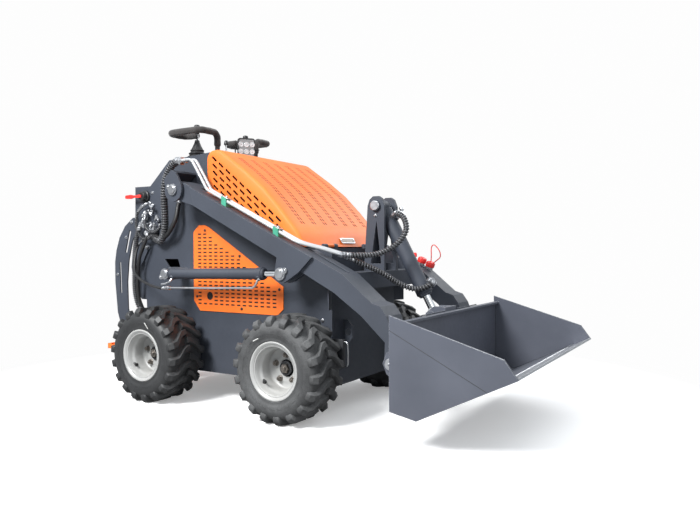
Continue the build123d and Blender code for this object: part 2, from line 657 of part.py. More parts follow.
piston_rod = rod(lift_point(LIFT_BORE_START + 20), lift_point(math.dist(LIFT_BASE, LIFT_ROD) - 20), LIFT_ROD_R)
piston_rod += cross(LIFT_ROD, eye_in, eye_out, LIFT_EYE_R)
save("lift_rods", *both(piston_rod))


# Tilt cylinder on the centre line
def tilt_point(distance):
    x, z = along(TOWER_PIN, TILT_PIN, distance)
    return (x, 0, z)


half_eye = TILT_EYE_WIDTH / 2
tilt_barrel = rod(tilt_point(TILT_EYE_R - 6), tilt_point(TILT_BARREL_END), TILT_BARREL_R)
tilt_barrel += cross(TOWER_PIN, -half_eye, half_eye, TILT_EYE_R)
tilt_barrel -= cross(TOWER_PIN, -60, 60, TILT_PIN_R + PIN_GAP)
tilt_barrel -= rod(tilt_point(TILT_BARREL_END - 300), tilt_point(TILT_BARREL_END + 1), TILT_ROD_R + PIN_GAP)
save("tilt_barrel", tilt_barrel)
tilt_rod = rod(tilt_point(TILT_BARREL_END - 290), tilt_point(math.dist(TOWER_PIN, TILT_PIN) - 20), TILT_ROD_R)
tilt_rod += cross(TILT_PIN, -half_eye, half_eye, TILT_EYE_R)
save("tilt_rod", tilt_rod)

# Attachment plate
attach = block(ATTACH_X, BACK_X, -ATTACH_HALF, ATTACH_HALF, 190, 440)
for y in (ARM_IN - 3 - ATTACH_EAR, ARM_CORE + 3):
    ear = prism([(ATTACH_X, 210), (ATTACH_X, 380), (HINGE[0] - 20, 330), (HINGE[0] - 36, HINGE[1]),
                 (HINGE[0] - 20, 250)], y, y + ATTACH_EAR)
    attach += ear + other_side(ear)
tilt_ear = prism([(ATTACH_X, 340), (ATTACH_X, 480), (TILT_PIN[0] + 12, 480), (TILT_PIN[0] - 26, 450),
                  (TILT_PIN[0] - 20, 420)], half_eye + 6, half_eye + 6 + ATTACH_EAR)
tilt_ear += cross(TILT_PIN, half_eye + 2, half_eye + 6 + ATTACH_EAR + 6, TILT_PIN_R)
attach += tilt_ear + other_side(tilt_ear) + block(ATTACH_X, BACK_X, -60, 60, 440, 480)
attach -= cross(HINGE, -ATTACH_HALF - 10, ATTACH_HALF + 10, HINGE_PIN_R)
save("attach_plate", attach)
hinge_pin = cross(HINGE, ARM_IN - 3 - ATTACH_EAR - 4, ARM_CORE + 3 + ATTACH_EAR + 4, HINGE_PIN_R)
save("hinge_pins", *both(hinge_pin))

# Bucket
side = prism([(BACK_X, 142), (1067, 121), (LIP_X, 302), (LIP_X - 47, 366), (BACK_X, 491)],
             BUCKET_HALF - BUCKET_SIDE, BUCKET_HALF)
wall = BUCKET_WALL
shell = prism([(BACK_X, 142), (1067, 121), (1350, 261.3), (1346.5, 268.4), (1066, 129.5),
               (BACK_X + wall, 149), (BACK_X + wall, 452), (985, 452), (985, 462), (BACK_X, 462)],
              -BUCKET_HALF + BUCKET_SIDE, BUCKET_HALF - BUCKET_SIDE)
save("bucket", shell + side + other_side(side))
edge = prism([(1350, 261.3), (LIP_X, 302), (LIP_X - 4, 309), (1346.5, 268.4)],
             -BUCKET_HALF + BUCKET_SIDE, BUCKET_HALF - BUCKET_SIDE)
save("cutting_edge", edge)
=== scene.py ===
import json
import random
from math import cos, hypot, pi, radians, sin

import bmesh
import bpy
from mathutils import Matrix, Vector


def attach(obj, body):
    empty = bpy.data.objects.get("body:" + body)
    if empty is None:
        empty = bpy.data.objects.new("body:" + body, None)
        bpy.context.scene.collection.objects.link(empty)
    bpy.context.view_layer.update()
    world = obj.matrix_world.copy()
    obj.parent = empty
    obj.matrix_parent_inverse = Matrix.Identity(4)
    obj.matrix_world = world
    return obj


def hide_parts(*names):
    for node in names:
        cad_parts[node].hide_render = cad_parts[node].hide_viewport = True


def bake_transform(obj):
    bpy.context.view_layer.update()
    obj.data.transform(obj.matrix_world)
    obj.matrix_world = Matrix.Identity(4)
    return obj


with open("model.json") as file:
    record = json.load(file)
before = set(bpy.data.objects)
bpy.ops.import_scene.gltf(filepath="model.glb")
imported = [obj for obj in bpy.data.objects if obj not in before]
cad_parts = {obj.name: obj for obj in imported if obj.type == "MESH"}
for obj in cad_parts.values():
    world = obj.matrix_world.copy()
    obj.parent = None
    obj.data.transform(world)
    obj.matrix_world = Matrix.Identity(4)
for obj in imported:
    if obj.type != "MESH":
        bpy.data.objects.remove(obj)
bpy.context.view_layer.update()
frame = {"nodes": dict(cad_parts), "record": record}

NODES = frame["nodes"]
random.seed(4)

# Lengths below are in millimetres from the ground midway between the axles,
# and place() takes them to metres in the frame, whose origin is under the machine's middle.
X_CENTRE = 212.5

# Sizes shared with the CAD
AXLE_X = 400
WHEEL_Y = 432
TYRE_R = 228.5
LUG_COUNT = 36
PLATE_FACE = 285
GUARD_FACE = 292
CONSOLE_Z = 1190
PIVOT = (-268, 1017)
LIFT_BASE = (-356, 614.5)
LIFT_ROD = (371, 626.5)
LIFT_Y = 400
LIFT_BARREL_END = 600
TOWER_PIN = (625, 927)
TILT_PIN = (885, 445)
TILT_BARREL_END = 450
HINGE = (900, 290)
BUCKET_HALF = 567
BUCKET_INNER = 557
STAND_X = (-1007, -640)
STAND_HALF = 250
STAND_TOP = 186

# Ways to face
LEFT = (0, 1, 0)
RIGHT = (0, -1, 0)
UP = (0, 0, 1)


def place(x, y, z):
    return Vector(((x - X_CENTRE) / 1000, y / 1000, z / 1000))


# Camera and light
CAMERA_AT = (2058.7, -2604.1, 728.0)
CAMERA_YAW = radians(31.775)
CAMERA_PITCH = radians(1.133)
CAMERA_ROLL = radians(-0.248)
CAMERA_LENS = 33.07


def link(thing):
    bpy.context.scene.collection.objects.link(thing)


def make_camera():
    forward = Vector((-sin(CAMERA_YAW) * cos(CAMERA_PITCH),
                      cos(CAMERA_YAW) * cos(CAMERA_PITCH), -sin(CAMERA_PITCH)))
    level = forward.cross(Vector((0, 0, 1))).normalized()
    upright = level.cross(forward)
    right = level * cos(CAMERA_ROLL) + upright * sin(CAMERA_ROLL)
    up = upright * cos(CAMERA_ROLL) - level * sin(CAMERA_ROLL)
    data = bpy.data.cameras.new("camera")
    data.lens = CAMERA_LENS
    data.sensor_width = 36
    camera = bpy.data.objects.new("camera", data)
    turn = Matrix((right, up, -forward)).transposed().to_4x4()
    camera.matrix_world = Matrix.Translation(place(*CAMERA_AT)) @ turn
    link(camera)
    bpy.context.scene.camera = camera


def area_light(name, at, towards, size, power):
    data = bpy.data.lights.new(name, "AREA")
    data.shape = "DISK"
    data.size = size
    data.energy = power
    light = bpy.data.objects.new(name, data)
    light.location = at
    light.rotation_euler = (Vector(towards) - Vector(at)).to_track_quat("-Z", "Y").to_euler()
    link(light)


def add(tree, kind, inputs=None, **settings):
    """A shader node with its settings and its inputs, which are values or other nodes' outputs."""
    node = tree.nodes.new("ShaderNode" + kind)
    for name, value in settings.items():
        setattr(node, name, value)
    for key, value in (inputs or {}).items():
        if isinstance(value, bpy.types.NodeSocket):
            tree.links.new(value, node.inputs[key])
        else:
            node.inputs[key].default_value = value
    return node


def maths(tree, operation, one, two, clamp=False):
    return add(tree, "Math", {0: one, 1: two}, operation=operation, use_clamp=clamp).outputs[0]


def upward(tree, vector):
    """The Z part of a direction or place."""
    return add(tree, "SeparateXYZ", {0: vector}).outputs["Z"]


def noise(tree, where, scale, detail, roughness=0.5):
    return add(tree, "TexNoise", {"Vector": where, "Scale": scale, "Detail": detail,
                                  "Roughness": roughness}).outputs["Fac"]


PAPER = (0.985, 0.985, 0.985, 1)


def make_light():
    area_light("key", (-0.8, -4.4, 4.2), (0.3, 0, 0.5), 2.0, 560)
    area_light("fill", (4.6, -2.4, 2.2), (0.2, 0, 0.5), 3.0, 50)
    area_light("back", (1.2, 4.2, 3.4), (0, 0, 0.6), 3.0, 90)
    world = bpy.data.worlds.new("studio")
    bpy.context.scene.world = world
    world.use_nodes = True
    tree = world.node_tree
    tree.nodes.clear()
    out = add(tree, "OutputWorld")
    height = upward(tree, add(tree, "TexCoord").outputs["Generated"])
    sky = span(tree, height, -0.15, 0.8, 0.12, 1.15)
    light = add(tree, "Background", {"Color": (0.90, 0.95, 1.0, 1), "Strength": sky})
    seen = add(tree, "Background", {"Color": PAPER, "Strength": 1.0})
    path = add(tree, "LightPath").outputs
    clear = maths(tree, "MAXIMUM", path["Is Camera Ray"], path["Is Transmission Ray"])
    mix = add(tree, "MixShader", {0: clear, 1: light.outputs[0], 2: seen.outputs[0]})
    tree.links.new(mix.outputs[0], out.inputs["Surface"])
    bpy.context.scene.view_settings.view_transform = "Standard"


def make_floor():
    """A pale floor that takes the shadows near the machine and fades into the backdrop."""
    bpy.ops.mesh.primitive_plane_add(size=80, location=(0, 0, 0))
    floor = bpy.context.object
    floor.name = "floor"
    material = bpy.data.materials.new("floor")
    material.use_nodes = True
    tree = material.node_tree
    shader = tree.nodes["Principled BSDF"]
    shader.inputs["Base Color"].default_value = (0.90, 0.90, 0.90, 1)
    shader.inputs["Roughness"].default_value = 0.9
    shader.inputs["Specular IOR Level"].default_value = 0.1
    where = add(tree, "TexCoord").outputs["Object"]
    reach = add(tree, "VectorMath", {0: where}, operation="LENGTH").outputs["Value"]
    fade = add(tree, "MapRange", {"Value": reach, "From Min": 1.1, "From Max": 2.1},
               interpolation_type="SMOOTHSTEP").outputs[0]
    path = add(tree, "LightPath").outputs["Is Camera Ray"]
    amount = maths(tree, "MULTIPLY", fade, path)
    glow = add(tree, "Emission", {"Color": PAPER, "Strength": 1.0}).outputs[0]
    lift = add(tree, "Emission", {"Color": (1, 1, 1, 1), "Strength": 0.28}).outputs[0]
    near = add(tree, "AddShader", {0: shader.outputs[0], 1: lift}).outputs[0]
    bounce = add(tree, "BsdfDiffuse", {"Color": (0.34, 0.34, 0.34, 1)}).outputs[0]
    lit = add(tree, "MixShader", {0: path, 1: bounce, 2: near}).outputs[0]
    both = add(tree, "MixShader", {0: amount, 1: lit, 2: glow}).outputs[0]
    tree.links.new(both, tree.nodes["Material Output"].inputs["Surface"])
    floor.data.materials.append(material)


# Materials
def shade(name, colour, rough, metallic=0.0):
    material = bpy.data.materials.new(name)
    material.use_nodes = True
    tree = material.node_tree
    shader = tree.nodes["Principled BSDF"]
    shader.inputs["Base Color"].default_value = (*colour, 1)
    shader.inputs["Roughness"].default_value = rough
    shader.inputs["Metallic"].default_value = metallic
    return material, tree, shader, add(tree, "TexCoord").outputs["Object"]


def tint_and_gloss(tree, shader, colour, rough):
    """Links the colour and the roughness, both other nodes' outputs."""
    tree.links.new(colour, shader.inputs["Base Color"])
    tree.links.new(rough, shader.inputs["Roughness"])


def scaled(colour, share):
    return [min(1.0, part * share) for part in colour]


def blend_colour(tree, factor, one, two):
    """A mix of two colours, each a value or another node's output."""
    mix = add(tree, "Mix", data_type="RGBA")
    for socket, value in zip((mix.inputs[0], mix.inputs[6], mix.inputs[7]), (factor, one, two)):
        if isinstance(value, bpy.types.NodeSocket):
            tree.links.new(value, socket)
        else:
            socket.default_value = value if isinstance(value, float) else (*value, 1)
    return mix.outputs[2]


def span(tree, value, low, high, to_low, to_high):
    return add(tree, "MapRange", {"Value": value, "From Min": low, "From Max": high,
                                  "To Min": to_low, "To Max": to_high}).outputs[0]


def product(tree, one, two):
    return maths(tree, "MULTIPLY", one, two, True)


def finish_surface(tree, shader, height, strength, edge):
    """Edges softened by a small radius, then the fine relief."""
    softened = add(tree, "Bevel", {"Radius": edge}, samples=4).outputs[0]
    bump = add(tree, "Bump", {"Strength": strength, "Distance": 0.0008, "Height": height,
                              "Normal": softened})
    tree.links.new(bump.outputs[0], shader.inputs["Normal"])


def edge_mask(tree, reach, low, high):
    """One along the edges of a shape and nought on its faces."""
    softened = add(tree, "Bevel", {"Radius": reach}, samples=4).outputs[0]
    flat = add(tree, "NewGeometry").outputs["Normal"]
    same = add(tree, "VectorMath", {0: softened, 1: flat}, operation="DOT_PRODUCT").outputs["Value"]
    return span(tree, same, high, low, 0.0, 1.0)


def paint(name, colour, rough, dusty=0.10, edge=0.0018, edge_wear_and_light=(0.25, 0.26, 0.28), edge_wear_and_light_share=0.35, coat=0.0):
    """Sprayed paint: orange peel, uneven gloss, a film of dust on top and low down, and edges tinted
    towards a given colour, which is rubbed paint on the bucket, a painted highlight on the dark body and a
    painted shade on the orange panels.
    """
    material, tree, shader, where = shade(name, colour, rough)
    broad = noise(tree, where, 4.0, 5.0)
    fine = noise(tree, where, 55.0, 5.0, 0.62)
    peel = noise(tree, where, 620.0, 1.0)
    tint = blend_colour(tree, span(tree, broad, 0.3, 0.7, 0.0, 1.0), scaled(colour, 0.84),
                        scaled(colour, 1.08))
    top = span(tree, upward(tree, add(tree, "NewGeometry").outputs["Normal"]), 0.2, 1.0, 0.0, 1.0)
    low = span(tree, upward(tree, where), 0.05, 0.65, 0.8, 0.12)
    spread = maths(tree, "ADD", top, low)
    patch = span(tree, broad, 0.30, 0.75, 0.35, 1.0)
    amount = product(tree, product(tree, spread, patch), dusty)
    dusted = blend_colour(tree, amount, tint, (0.30, 0.28, 0.25))
    # Edge tint: rubbed paint, and on the dark body a painted highlight and on the orange panels a painted
    # shade along the edges.
    edge_wear_and_light_mask = product(tree, edge_mask(tree, 0.003, 0.80, 0.97), span(tree, fine, 0.40, 0.62, 0.1 * edge_wear_and_light_share, edge_wear_and_light_share))
    tint_and_gloss(tree, shader, blend_colour(tree, edge_wear_and_light_mask, dusted, edge_wear_and_light),
                   span(tree, fine, 0.3, 0.7, rough - 0.03, rough + 0.06))
    shader.inputs["Coat Weight"].default_value = coat
    shader.inputs["Coat Roughness"].default_value = 0.32
    finish_surface(tree, shader, peel, 0.06, edge)
    return material


def metal(name, colour, rough, grit=0.05, edge=0.0012):
    """Bare or plated metal: cloudy gloss, faint brushing, darker in the hollows of its grain."""
    material, tree, shader, where = shade(name, colour, rough, 1.0)
    cloud = noise(tree, where, 40.0, 6.0)
    grain = noise(tree, where, 900.0, 2.0)
    clouded = blend_colour(tree, span(tree, cloud, 0.35, 0.65, 0.0, 1.0), scaled(colour, 0.92), colour)
    tint_and_gloss(tree, shader, clouded, span(tree, cloud, 0.3, 0.7, rough * 0.9, rough * 1.15))
    finish_surface(tree, shader, grain, grit, edge)
    return material


def plain(name, colour, rough, grain=300.0, strength=0.15, sheen=0.0):
    """Moulded plastic, casting or foam: grainy, with slightly uneven colour and gloss."""
    material, tree, shader, where = shade(name, colour, rough)
    grit = noise(tree, where, grain, 3.0)
    cloud = noise(tree, where, 18.0, 4.0)
    clouded = blend_colour(tree, span(tree, cloud, 0.35, 0.65, 0.0, 1.0), scaled(colour, 0.8),
                           scaled(colour, 1.25))
    tint_and_gloss(tree, shader, clouded, span(tree, grit, 0.3, 0.7, rough - 0.07, rough + 0.07))
    shader.inputs["Sheen Weight"].default_value = sheen
    finish_surface(tree, shader, grit, strength, 0.0012)
    return material


def rubber(name, dusty):
    """Tyre rubber: dull black, greyed on the sidewall and the tops of the lugs, more on faces turned up:
    dust, and at a large amount also painted light.
    """
    material, tree, shader, where = shade(name, (0.02, 0.02, 0.022), 0.62)
    broad = noise(tree, where, 7.0, 6.0, 0.65)
    fine = noise(tree, where, 240.0, 4.0)
    normal = add(tree, "NewGeometry").outputs["Normal"]
    lying = span(tree, upward(tree, normal), -0.6, 0.8, 0.45, 1.0)
    dust_and_light = product(tree, product(tree, span(tree, broad, 0.34, 0.66, 0.3, 1.0), lying),
                   span(tree, fine, 0.35, 0.65, 0.55 * dusty, dusty))
    tint_and_gloss(tree, shader, blend_colour(tree, dust_and_light, (0.010, 0.0105, 0.0115), (0.135, 0.138, 0.140)),
                   span(tree, dust_and_light, 0.0, 0.7, 0.46, 0.85))
    finish_surface(tree, shader, fine, 0.25, 0.0015)
    return material


make_camera()
make_light()
make_floor()

FINISH = {
    # Body paint: its edges are tinted much lighter, rubbed paint and a painted highlight along the edges.
    "body_paint": paint("body_paint", (0.031, 0.038, 0.054), 0.62, dusty=0.06, coat=0.03),
    # Orange panel paint: its edges are tinted darker red, a painted shade along the sheet's cut edges and
    # slots.
    "panel_paint": paint("panel_paint", (0.86, 0.165, 0.014), 0.52, dusty=0.02, edge=0.0005,
                         edge_wear_and_light=(0.6, 0.10, 0.01), coat=0.04),
    "rim_paint": paint("rim_paint", (0.38, 0.385, 0.38), 0.36, dusty=0.30, edge_wear_and_light=(0.30, 0.29, 0.27)),
    "tyre": rubber("tyre_rubber", 0.25),
    "steel": metal("zinc", (0.52, 0.53, 0.55), 0.36, 0.01),
    "rod_chrome": metal("chrome", (0.82, 0.83, 0.84), 0.08, 0.01),
    "castings": plain("castings", (0.022, 0.023, 0.026), 0.55, 120, 0.5),
    "black_plastic": plain("black_plastic", (0.012, 0.012, 0.013), 0.45),
    "grip_foam": plain("grip_foam", (0.020, 0.017, 0.016), 0.82, 420, 0.7, sheen=0.3),
    "worn_edge": metal("worn_steel", (0.56, 0.57, 0.59), 0.36, 0.3),
}
# Bucket and attach plate: a lighter copy of the body paint, a painted sheen for the bucket's lit side; the
# strongly rubbed edges are wear.
BUCKET_PAINT_WITH_SHEEN = paint("bucket_paint_with_sheen", (0.072, 0.080, 0.104), 0.40, dusty=0.08, edge_wear_and_light=(0.42, 0.43, 0.45),
                     edge_wear_and_light_share=0.9)
# Front tyres: four times the greying of the rear ones, dust and painted light for their brighter look.
DUSTY_AND_LIT_RUBBER = rubber("front_tyre_rubber", 1.0)
TUBE_WHITE = paint("tube_white", (0.42, 0.43, 0.44), 0.22, dusty=0.05, edge_wear_and_light=(0.4, 0.4, 0.4), coat=0.8)
CLAMP_GREEN = plain("clamp_green", (0.045, 0.26, 0.17), 0.42, 260, 0.12)
CAP_RED = plain("cap_red", (0.72, 0.03, 0.025), 0.38, 200, 0.1)
LAMP_WHITE = plain("lamp_white", (0.42, 0.43, 0.44), 0.22, 300, 0.02)
LAMP_GREY = plain("lamp_grey", (0.16, 0.165, 0.17), 0.3, 300, 0.02)
MARK_WHITE = plain("mark_white", (0.55, 0.55, 0.53), 0.7, 300, 0.2)
HOSE_BLACK = plain("hose_black", (0.010, 0.010, 0.011), 0.5, 260, 0.3)
# Hose wrap: a grey lighter than the hose, a painted highlight on the turns of the wire.
WRAP_HIGHLIGHT_GREY = plain("wrap_highlight_grey", (0.075, 0.077, 0.084), 0.28, 300, 0.05)
# Near black for the slots' cut edges and the sheets behind the slots: painted shade.
PAINTED_SHADE_BLACK = plain("painted_shade_black", (0.008, 0.008, 0.009), 0.8, 200, 0.1)
NUT_STEEL = metal("nut_steel", (0.22, 0.20, 0.18), 0.45, 0.05)

SLOT_OF = {part["node"]: part["material_slot"] for part in frame["record"]["subparts"]}
for name, node in NODES.items():
    node.data.materials.clear()
    node.data.materials.append(FINISH[SLOT_OF[name]])
for name, finish in (("arm_tubes", TUBE_WHITE), ("tube_clamps", CLAMP_GREEN), ("bucket", BUCKET_PAINT_WITH_SHEEN),
                     ("attach_plate", BUCKET_PAINT_WITH_SHEEN)):
    NODES[name].data.materials[0] = finish


# Shapes: each is a pair of a list of points and a list of faces, in millimetres
def lathe(profile, steps=48):
    """A line of (radius, height) points turned about the Z axis."""
    points, faces = [], []
    count = len(profile)
    for step in range(steps):
        angle = 2 * pi * step / steps
        points += [Vector((r * cos(angle), r * sin(angle), h)) for r, h in profile]
        a, b = step * count, (step + 1) % steps * count
        faces += [(a + i, b + i, b + i + 1, a + i + 1) for i in range(count - 1)]
    return points, faces


def turned(profile, steps):
    """A turned solid: the line of (radius, height) points, closed to the axis at both ends."""
    return lathe([(0, profile[0][1]), *profile, (0, profile[-1][1])], steps)


def boss(radius, wall, top_radius, height, steps=28):
    """A round block whose wall ends in a chamfer."""
    return turned([(radius, 0), (radius, wall), (top_radius, height)], steps)


def rod(radius, height, steps=20):
    return turned([(radius, 0), (radius, height)], steps)


def slab(outline, depth):
    """A flat outline of (x, y) points carried along Z."""
    count = len(outline)
    points = [Vector((x, y, z)) for z in (0, depth) for x, y in outline]
    faces = [tuple(range(count))[::-1], tuple(range(count, 2 * count))]
    faces += [(i, (i + 1) % count, (i + 1) % count + count, i + count) for i in range(count)]
    return points, faces


def rounded(width, height, radius, steps=4):
    corners = []
    for quarter, (sx, sy) in enumerate(((1, 1), (-1, 1), (-1, -1), (1, -1))):
        for step in range(steps + 1):
            angle = pi / 2 * (quarter + step / steps)
            corners.append((sx * (width / 2 - radius) + radius * cos(angle),
                            sy * (height / 2 - radius) + radius * sin(angle)))
    return corners


def brick(width, depth, height, radius=1.5):
    """A block with rounded upright edges, standing on Z = 0."""
    return slab(rounded(width, depth, radius), height)


def smooth_line(points, per=8):
    """Points along a smooth line through the given ones."""
    line = [Vector(p) for p in points]
    ends = [line[0] * 2 - line[1]] + line + [line[-1] * 2 - line[-2]]
    out = []
    for a, b, c, d in zip(ends, ends[1:], ends[2:], ends[3:]):
        for step in range(per):
            t = step / per
            out.append(0.5 * (b * 2 + (c - a) * t + (a * 2 - b * 5 + c * 4 - d) * t * t
                              + (b * 3 - a - c * 3 + d) * t ** 3))
    return out + [line[-1]]


def square_to(ahead, across):
    """Two directions square to a line, the first as near as can be to the one before it."""
    across = across or ahead.orthogonal().normalized()
    across = (across - ahead * across.dot(ahead)).normalized()
    return across, ahead.cross(across)


def tube(line, radius, sides=14):
    """A round tube along a line; radius is a length or one for each point."""
    points, faces = [], []
    across = None
    for index, at in enumerate(line):
        ahead = (line[min(index + 1, len(line) - 1)] - line[max(index - 1, 0)]).normalized()
        across, third = square_to(ahead, across)
        size = radius[index] if isinstance(radius, list) else radius
        for side in range(sides):
            angle = 2 * pi * side / sides
            points.append(at + (across * cos(angle) + third * sin(angle)) * size)
    for index in range(len(line) - 1):
        a, b = index * sides, (index + 1) * sides
        faces += [(a + i, a + (i + 1) % sides, b + (i + 1) % sides, b + i) for i in range(sides)]
    faces += [tuple(range(sides))[::-1], tuple(range(len(points) - sides, len(points)))]
    return points, faces


def spiral(line, radius, wire, pitch):
    """A wire wound round a line of evenly smooth points."""
    length, wound = 0.0, []
    across = None
    for at, after in zip(line, line[1:]):
        run = after - at
        across, third = square_to(run.normalized(), across)
        steps = max(2, round(run.length / pitch * 10))
        for step in range(steps):
            angle = 2 * pi * (length + run.length * step / steps) / pitch
            out = across * cos(angle) + third * sin(angle)
            wound.append(at + run * step / steps + out * radius)
        length += run.length
    return tube(wound, wire, 6)


def put(shape, at, facing=(0, 0, 1), spin=0.0):
    """The shape with its Z axis turned to face a way and its origin moved to a place."""
    turn = Vector(facing).to_track_quat("Z", "Y").to_matrix() @ Matrix.Rotation(spin, 3, "Z")
    return [turn @ p + Vector(at) for p in shape[0]], shape[1]


def side_slab(outline, y, thick):
    """An outline of (x, z) points carried along Y."""
    points, faces = slab(outline, thick)
    return [Vector((p.x, y + p.z, p.y)) for p in points], [face[::-1] for face in faces]


def mirrored(shape):
    return [Vector((p[0], -p[1], p[2])) for p in shape[0]], [face[::-1] for face in shape[1]]


def beside(pin, y, dx=0, dz=0):
    """A place at a distance y from the middle, on a pin's axis or off it."""
    return pin[0] + dx, y, pin[1] + dz


def both_sides(*shapes):
    return [*shapes, *[mirrored(shape) for shape in shapes]]


def piece(name, shapes, body, slot, finish=None, bevel=0.0, crease=35):
    """A named mesh of shapes, in the finish of its slot unless told; body None leaves it unattached."""
    points, faces = [], []
    for shape_points, shape_faces in shapes:
        base = len(points)
        points += [place(*p) for p in shape_points]
        faces += [tuple(base + i for i in face) for face in shape_faces]
    mesh = bpy.data.meshes.new(name)
    mesh.from_pydata(points, [], faces)
    work = bmesh.new()
    work.from_mesh(mesh)
    bmesh.ops.remove_doubles(work, verts=work.verts, dist=1e-6)
    bmesh.ops.recalc_face_normals(work, faces=work.faces)
    work.to_mesh(mesh)
    work.free()
    mesh.polygons.foreach_set("use_smooth", [True] * len(mesh.polygons))
    mesh.set_sharp_from_angle(angle=radians(crease))
    thing = bpy.data.objects.new(name, mesh)
    link(thing)
    mesh.materials.append(finish or FINISH[slot])
    if bevel:
        edge = thing.modifiers.new("edge", "BEVEL")
        edge.width = bevel / 1000
        edge.segments = 2
        edge.limit_method = "ANGLE"
        edge.angle_limit = radians(crease)
    if body:
        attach(thing, body)
    return thing


def pair(name, shapes, *rest, **settings):
    """A piece of shapes on the left and their mirror images on the right."""
    return piece(name, both_sides(*shapes), *rest, **settings)


# Small hardware
def hex_head(radius, height):
    """A bolt head with chamfered corners."""
    return boss(radius, height * 0.82, radius * 0.88, height, 6)


def nut(radius, height, at, facing, spin=0.0):
    return put(hex_head(radius, height), at, facing, spin)


def washer(radius, height=2.0):
    return boss(radius, height * 0.8, radius - 0.6, height)


def bolt(at, facing, size=8):
    """A hex head, turned at random, on its washer."""
    turn = random.uniform(0, 1)
    facing = Vector(facing).normalized()
    return [put(washer(size * 1.15), at, facing),
            nut(size * 0.92, size * 0.7, Vector(at) + facing * 2, facing, turn)]


def button_screw(at, facing, size=7):
    """A domed socket screw."""
    dome = [(0, 0), (size, 0), (size * 0.95, size * 0.25), (size * 0.7, size * 0.5),
            (size * 0.42, size * 0.6), (size * 0.40, size * 0.2), (0, size * 0.2)]
    return [put(lathe(dome, 20), at, facing)]


def grease_nipple(at, facing):
    profile = [(0, 0), (5, 0), (5, 4), (3.2, 5), (2.6, 9), (3.6, 11), (2.6, 13.5), (0, 14)]
    return put(lathe(profile, 16), at, facing)


def hose_end(at, facing, radius):
    """A hex collar and its crimped sleeve, from the port outwards."""
    collar = boss(radius * 1.55, 13, radius * 1.35, 15, 6)
    sleeve = turned([(radius * 1.15, 0), (radius * 1.35, 2), (radius * 1.35, 9), (radius * 1.2, 11),
                     (radius * 1.35, 13), (radius * 1.35, 24), (radius * 1.1, 27)], 24)
    facing = Vector(facing).normalized()
    return [put(collar, at, facing), put(sleeve, Vector(at) + facing * 14, facing)]


def weld(start, end, radius=3.0):
    """A straight bead with its ripples."""
    start, end = Vector(start), Vector(end)
    steps = max(2, round((end - start).length / 3.0))
    line = [start.lerp(end, step / steps) for step in range(steps)]
    sizes = [radius * (1 + 0.16 * sin((step + 1) * 2.1)) for step in range(steps)]
    return tube(line, sizes, 6)


WHEELS = [
    # name, side, x of the axle, chalk mark on the tyre: its angle, turn and climb at each step
    ("front_right", -1, AXLE_X, 124, 1.4, 0.6),
    ("front_left", 1, AXLE_X, 60, 1.4, 0.0),
    ("rear_right", -1, -AXLE_X, 72, -1.2, -2.6),
    ("rear_left", 1, -AXLE_X, 110, 1.2, 1.5),
]

# Tyres
CARCASS = [
    # distance from the tyre's middle, radius
    (92, 102), (93.5, 112), (95, 120), (98, 125), (100.8, 127), (101.2, 131), (100.5, 134), (103, 141),
    (106, 150), (107.8, 160), (108, 168), (107, 176), (104.5, 184), (100.5, 192), (95, 199), (87, 204),
    (70, 207.5), (40, 209.4), (0, 210),
]
LUG = [
    # distance from the middle, radius, way out (sideways, outwards), height, half width, steps ahead
    (103.5, 186, (1.0, 0.30), 0.8, 13.0, 0.02),
    (101.5, 191, (0.95, 0.45), 6.8, 14.5, 0.02),
    (98.0, 198, (0.70, 0.72), 13.5, 15.0, 0.04),
    (88.0, 204.5, (0.20, 1.0), 20.6, 14.5, 0.08),
    (70.0, 208, (0.0, 1.0), 20.3, 13.0, 0.22),
    (52.0, 209, (0.0, 1.0), 19.5, 11.5, 0.72),
    (36.0, 209.5, (0.0, 1.0), 19.0, 11.5, 1.16),
    (18.0, 209.8, (0.0, 1.0), 18.8, 12.5, 1.42),
    (-4.0, 210, (0.0, 1.0), 18.5, 13.0, 1.55),
]


def lug_shape(turn, side):
    """One lug: a ribbon that stands up from the sidewall and sweeps in to the middle of the tread."""
    points, faces = [], []
    for y, r, (out_y, out_r), height, half, ahead in LUG:
        scale = hypot(out_y, out_r)
        out_y, out_r = out_y / scale, out_r / scale
        foot = half + 1.5 + height * 0.22
        for lift, width in ((-3, foot), (height - 1.5, half + 0.6), (height, half - 1.2),
                            (height, 1.2 - half), (height - 1.5, -half - 0.6), (-3, -foot)):
            radius = r + out_r * lift
            angle = turn + 2 * pi * ahead / LUG_COUNT + width / max(radius, 1)
            points.append(Vector((radius * cos(angle), side * (y + out_y * lift), radius * sin(angle))))
    ring = 6
    for index in range(len(LUG) - 1):
        a, b = index * ring, (index + 1) * ring
        faces += [(a + i, a + i + 1, b + i + 1, b + i) for i in range(ring - 1)]
    faces += [tuple(range(ring)), tuple(range(len(points) - ring, len(points)))[::-1]]
    return points, faces


def wheel_piece(wheel, part, shapes, slot, finish=None, crease=35):
    """A piece of one wheel, from shapes about the wheel's own middle."""
    name, side, axle_x = wheel[:3]
    placed = []
    for points, faces in shapes:
        placed.append(([Vector((p[0] + axle_x, p[1] + side * WHEEL_Y, p[2] + TYRE_R)) for p in points],
                       faces))
    return piece(f"{name}_{part}", placed, f"wheel_{name}", slot, finish, crease=crease)


def about_axle(profile, steps, side):
    """A line of (distance outwards, radius) turned about the wheel's axle."""
    points, faces = lathe([(r, y) for y, r in profile], steps)
    return [Vector((p[0], side * p[2], p[1])) for p in points], faces


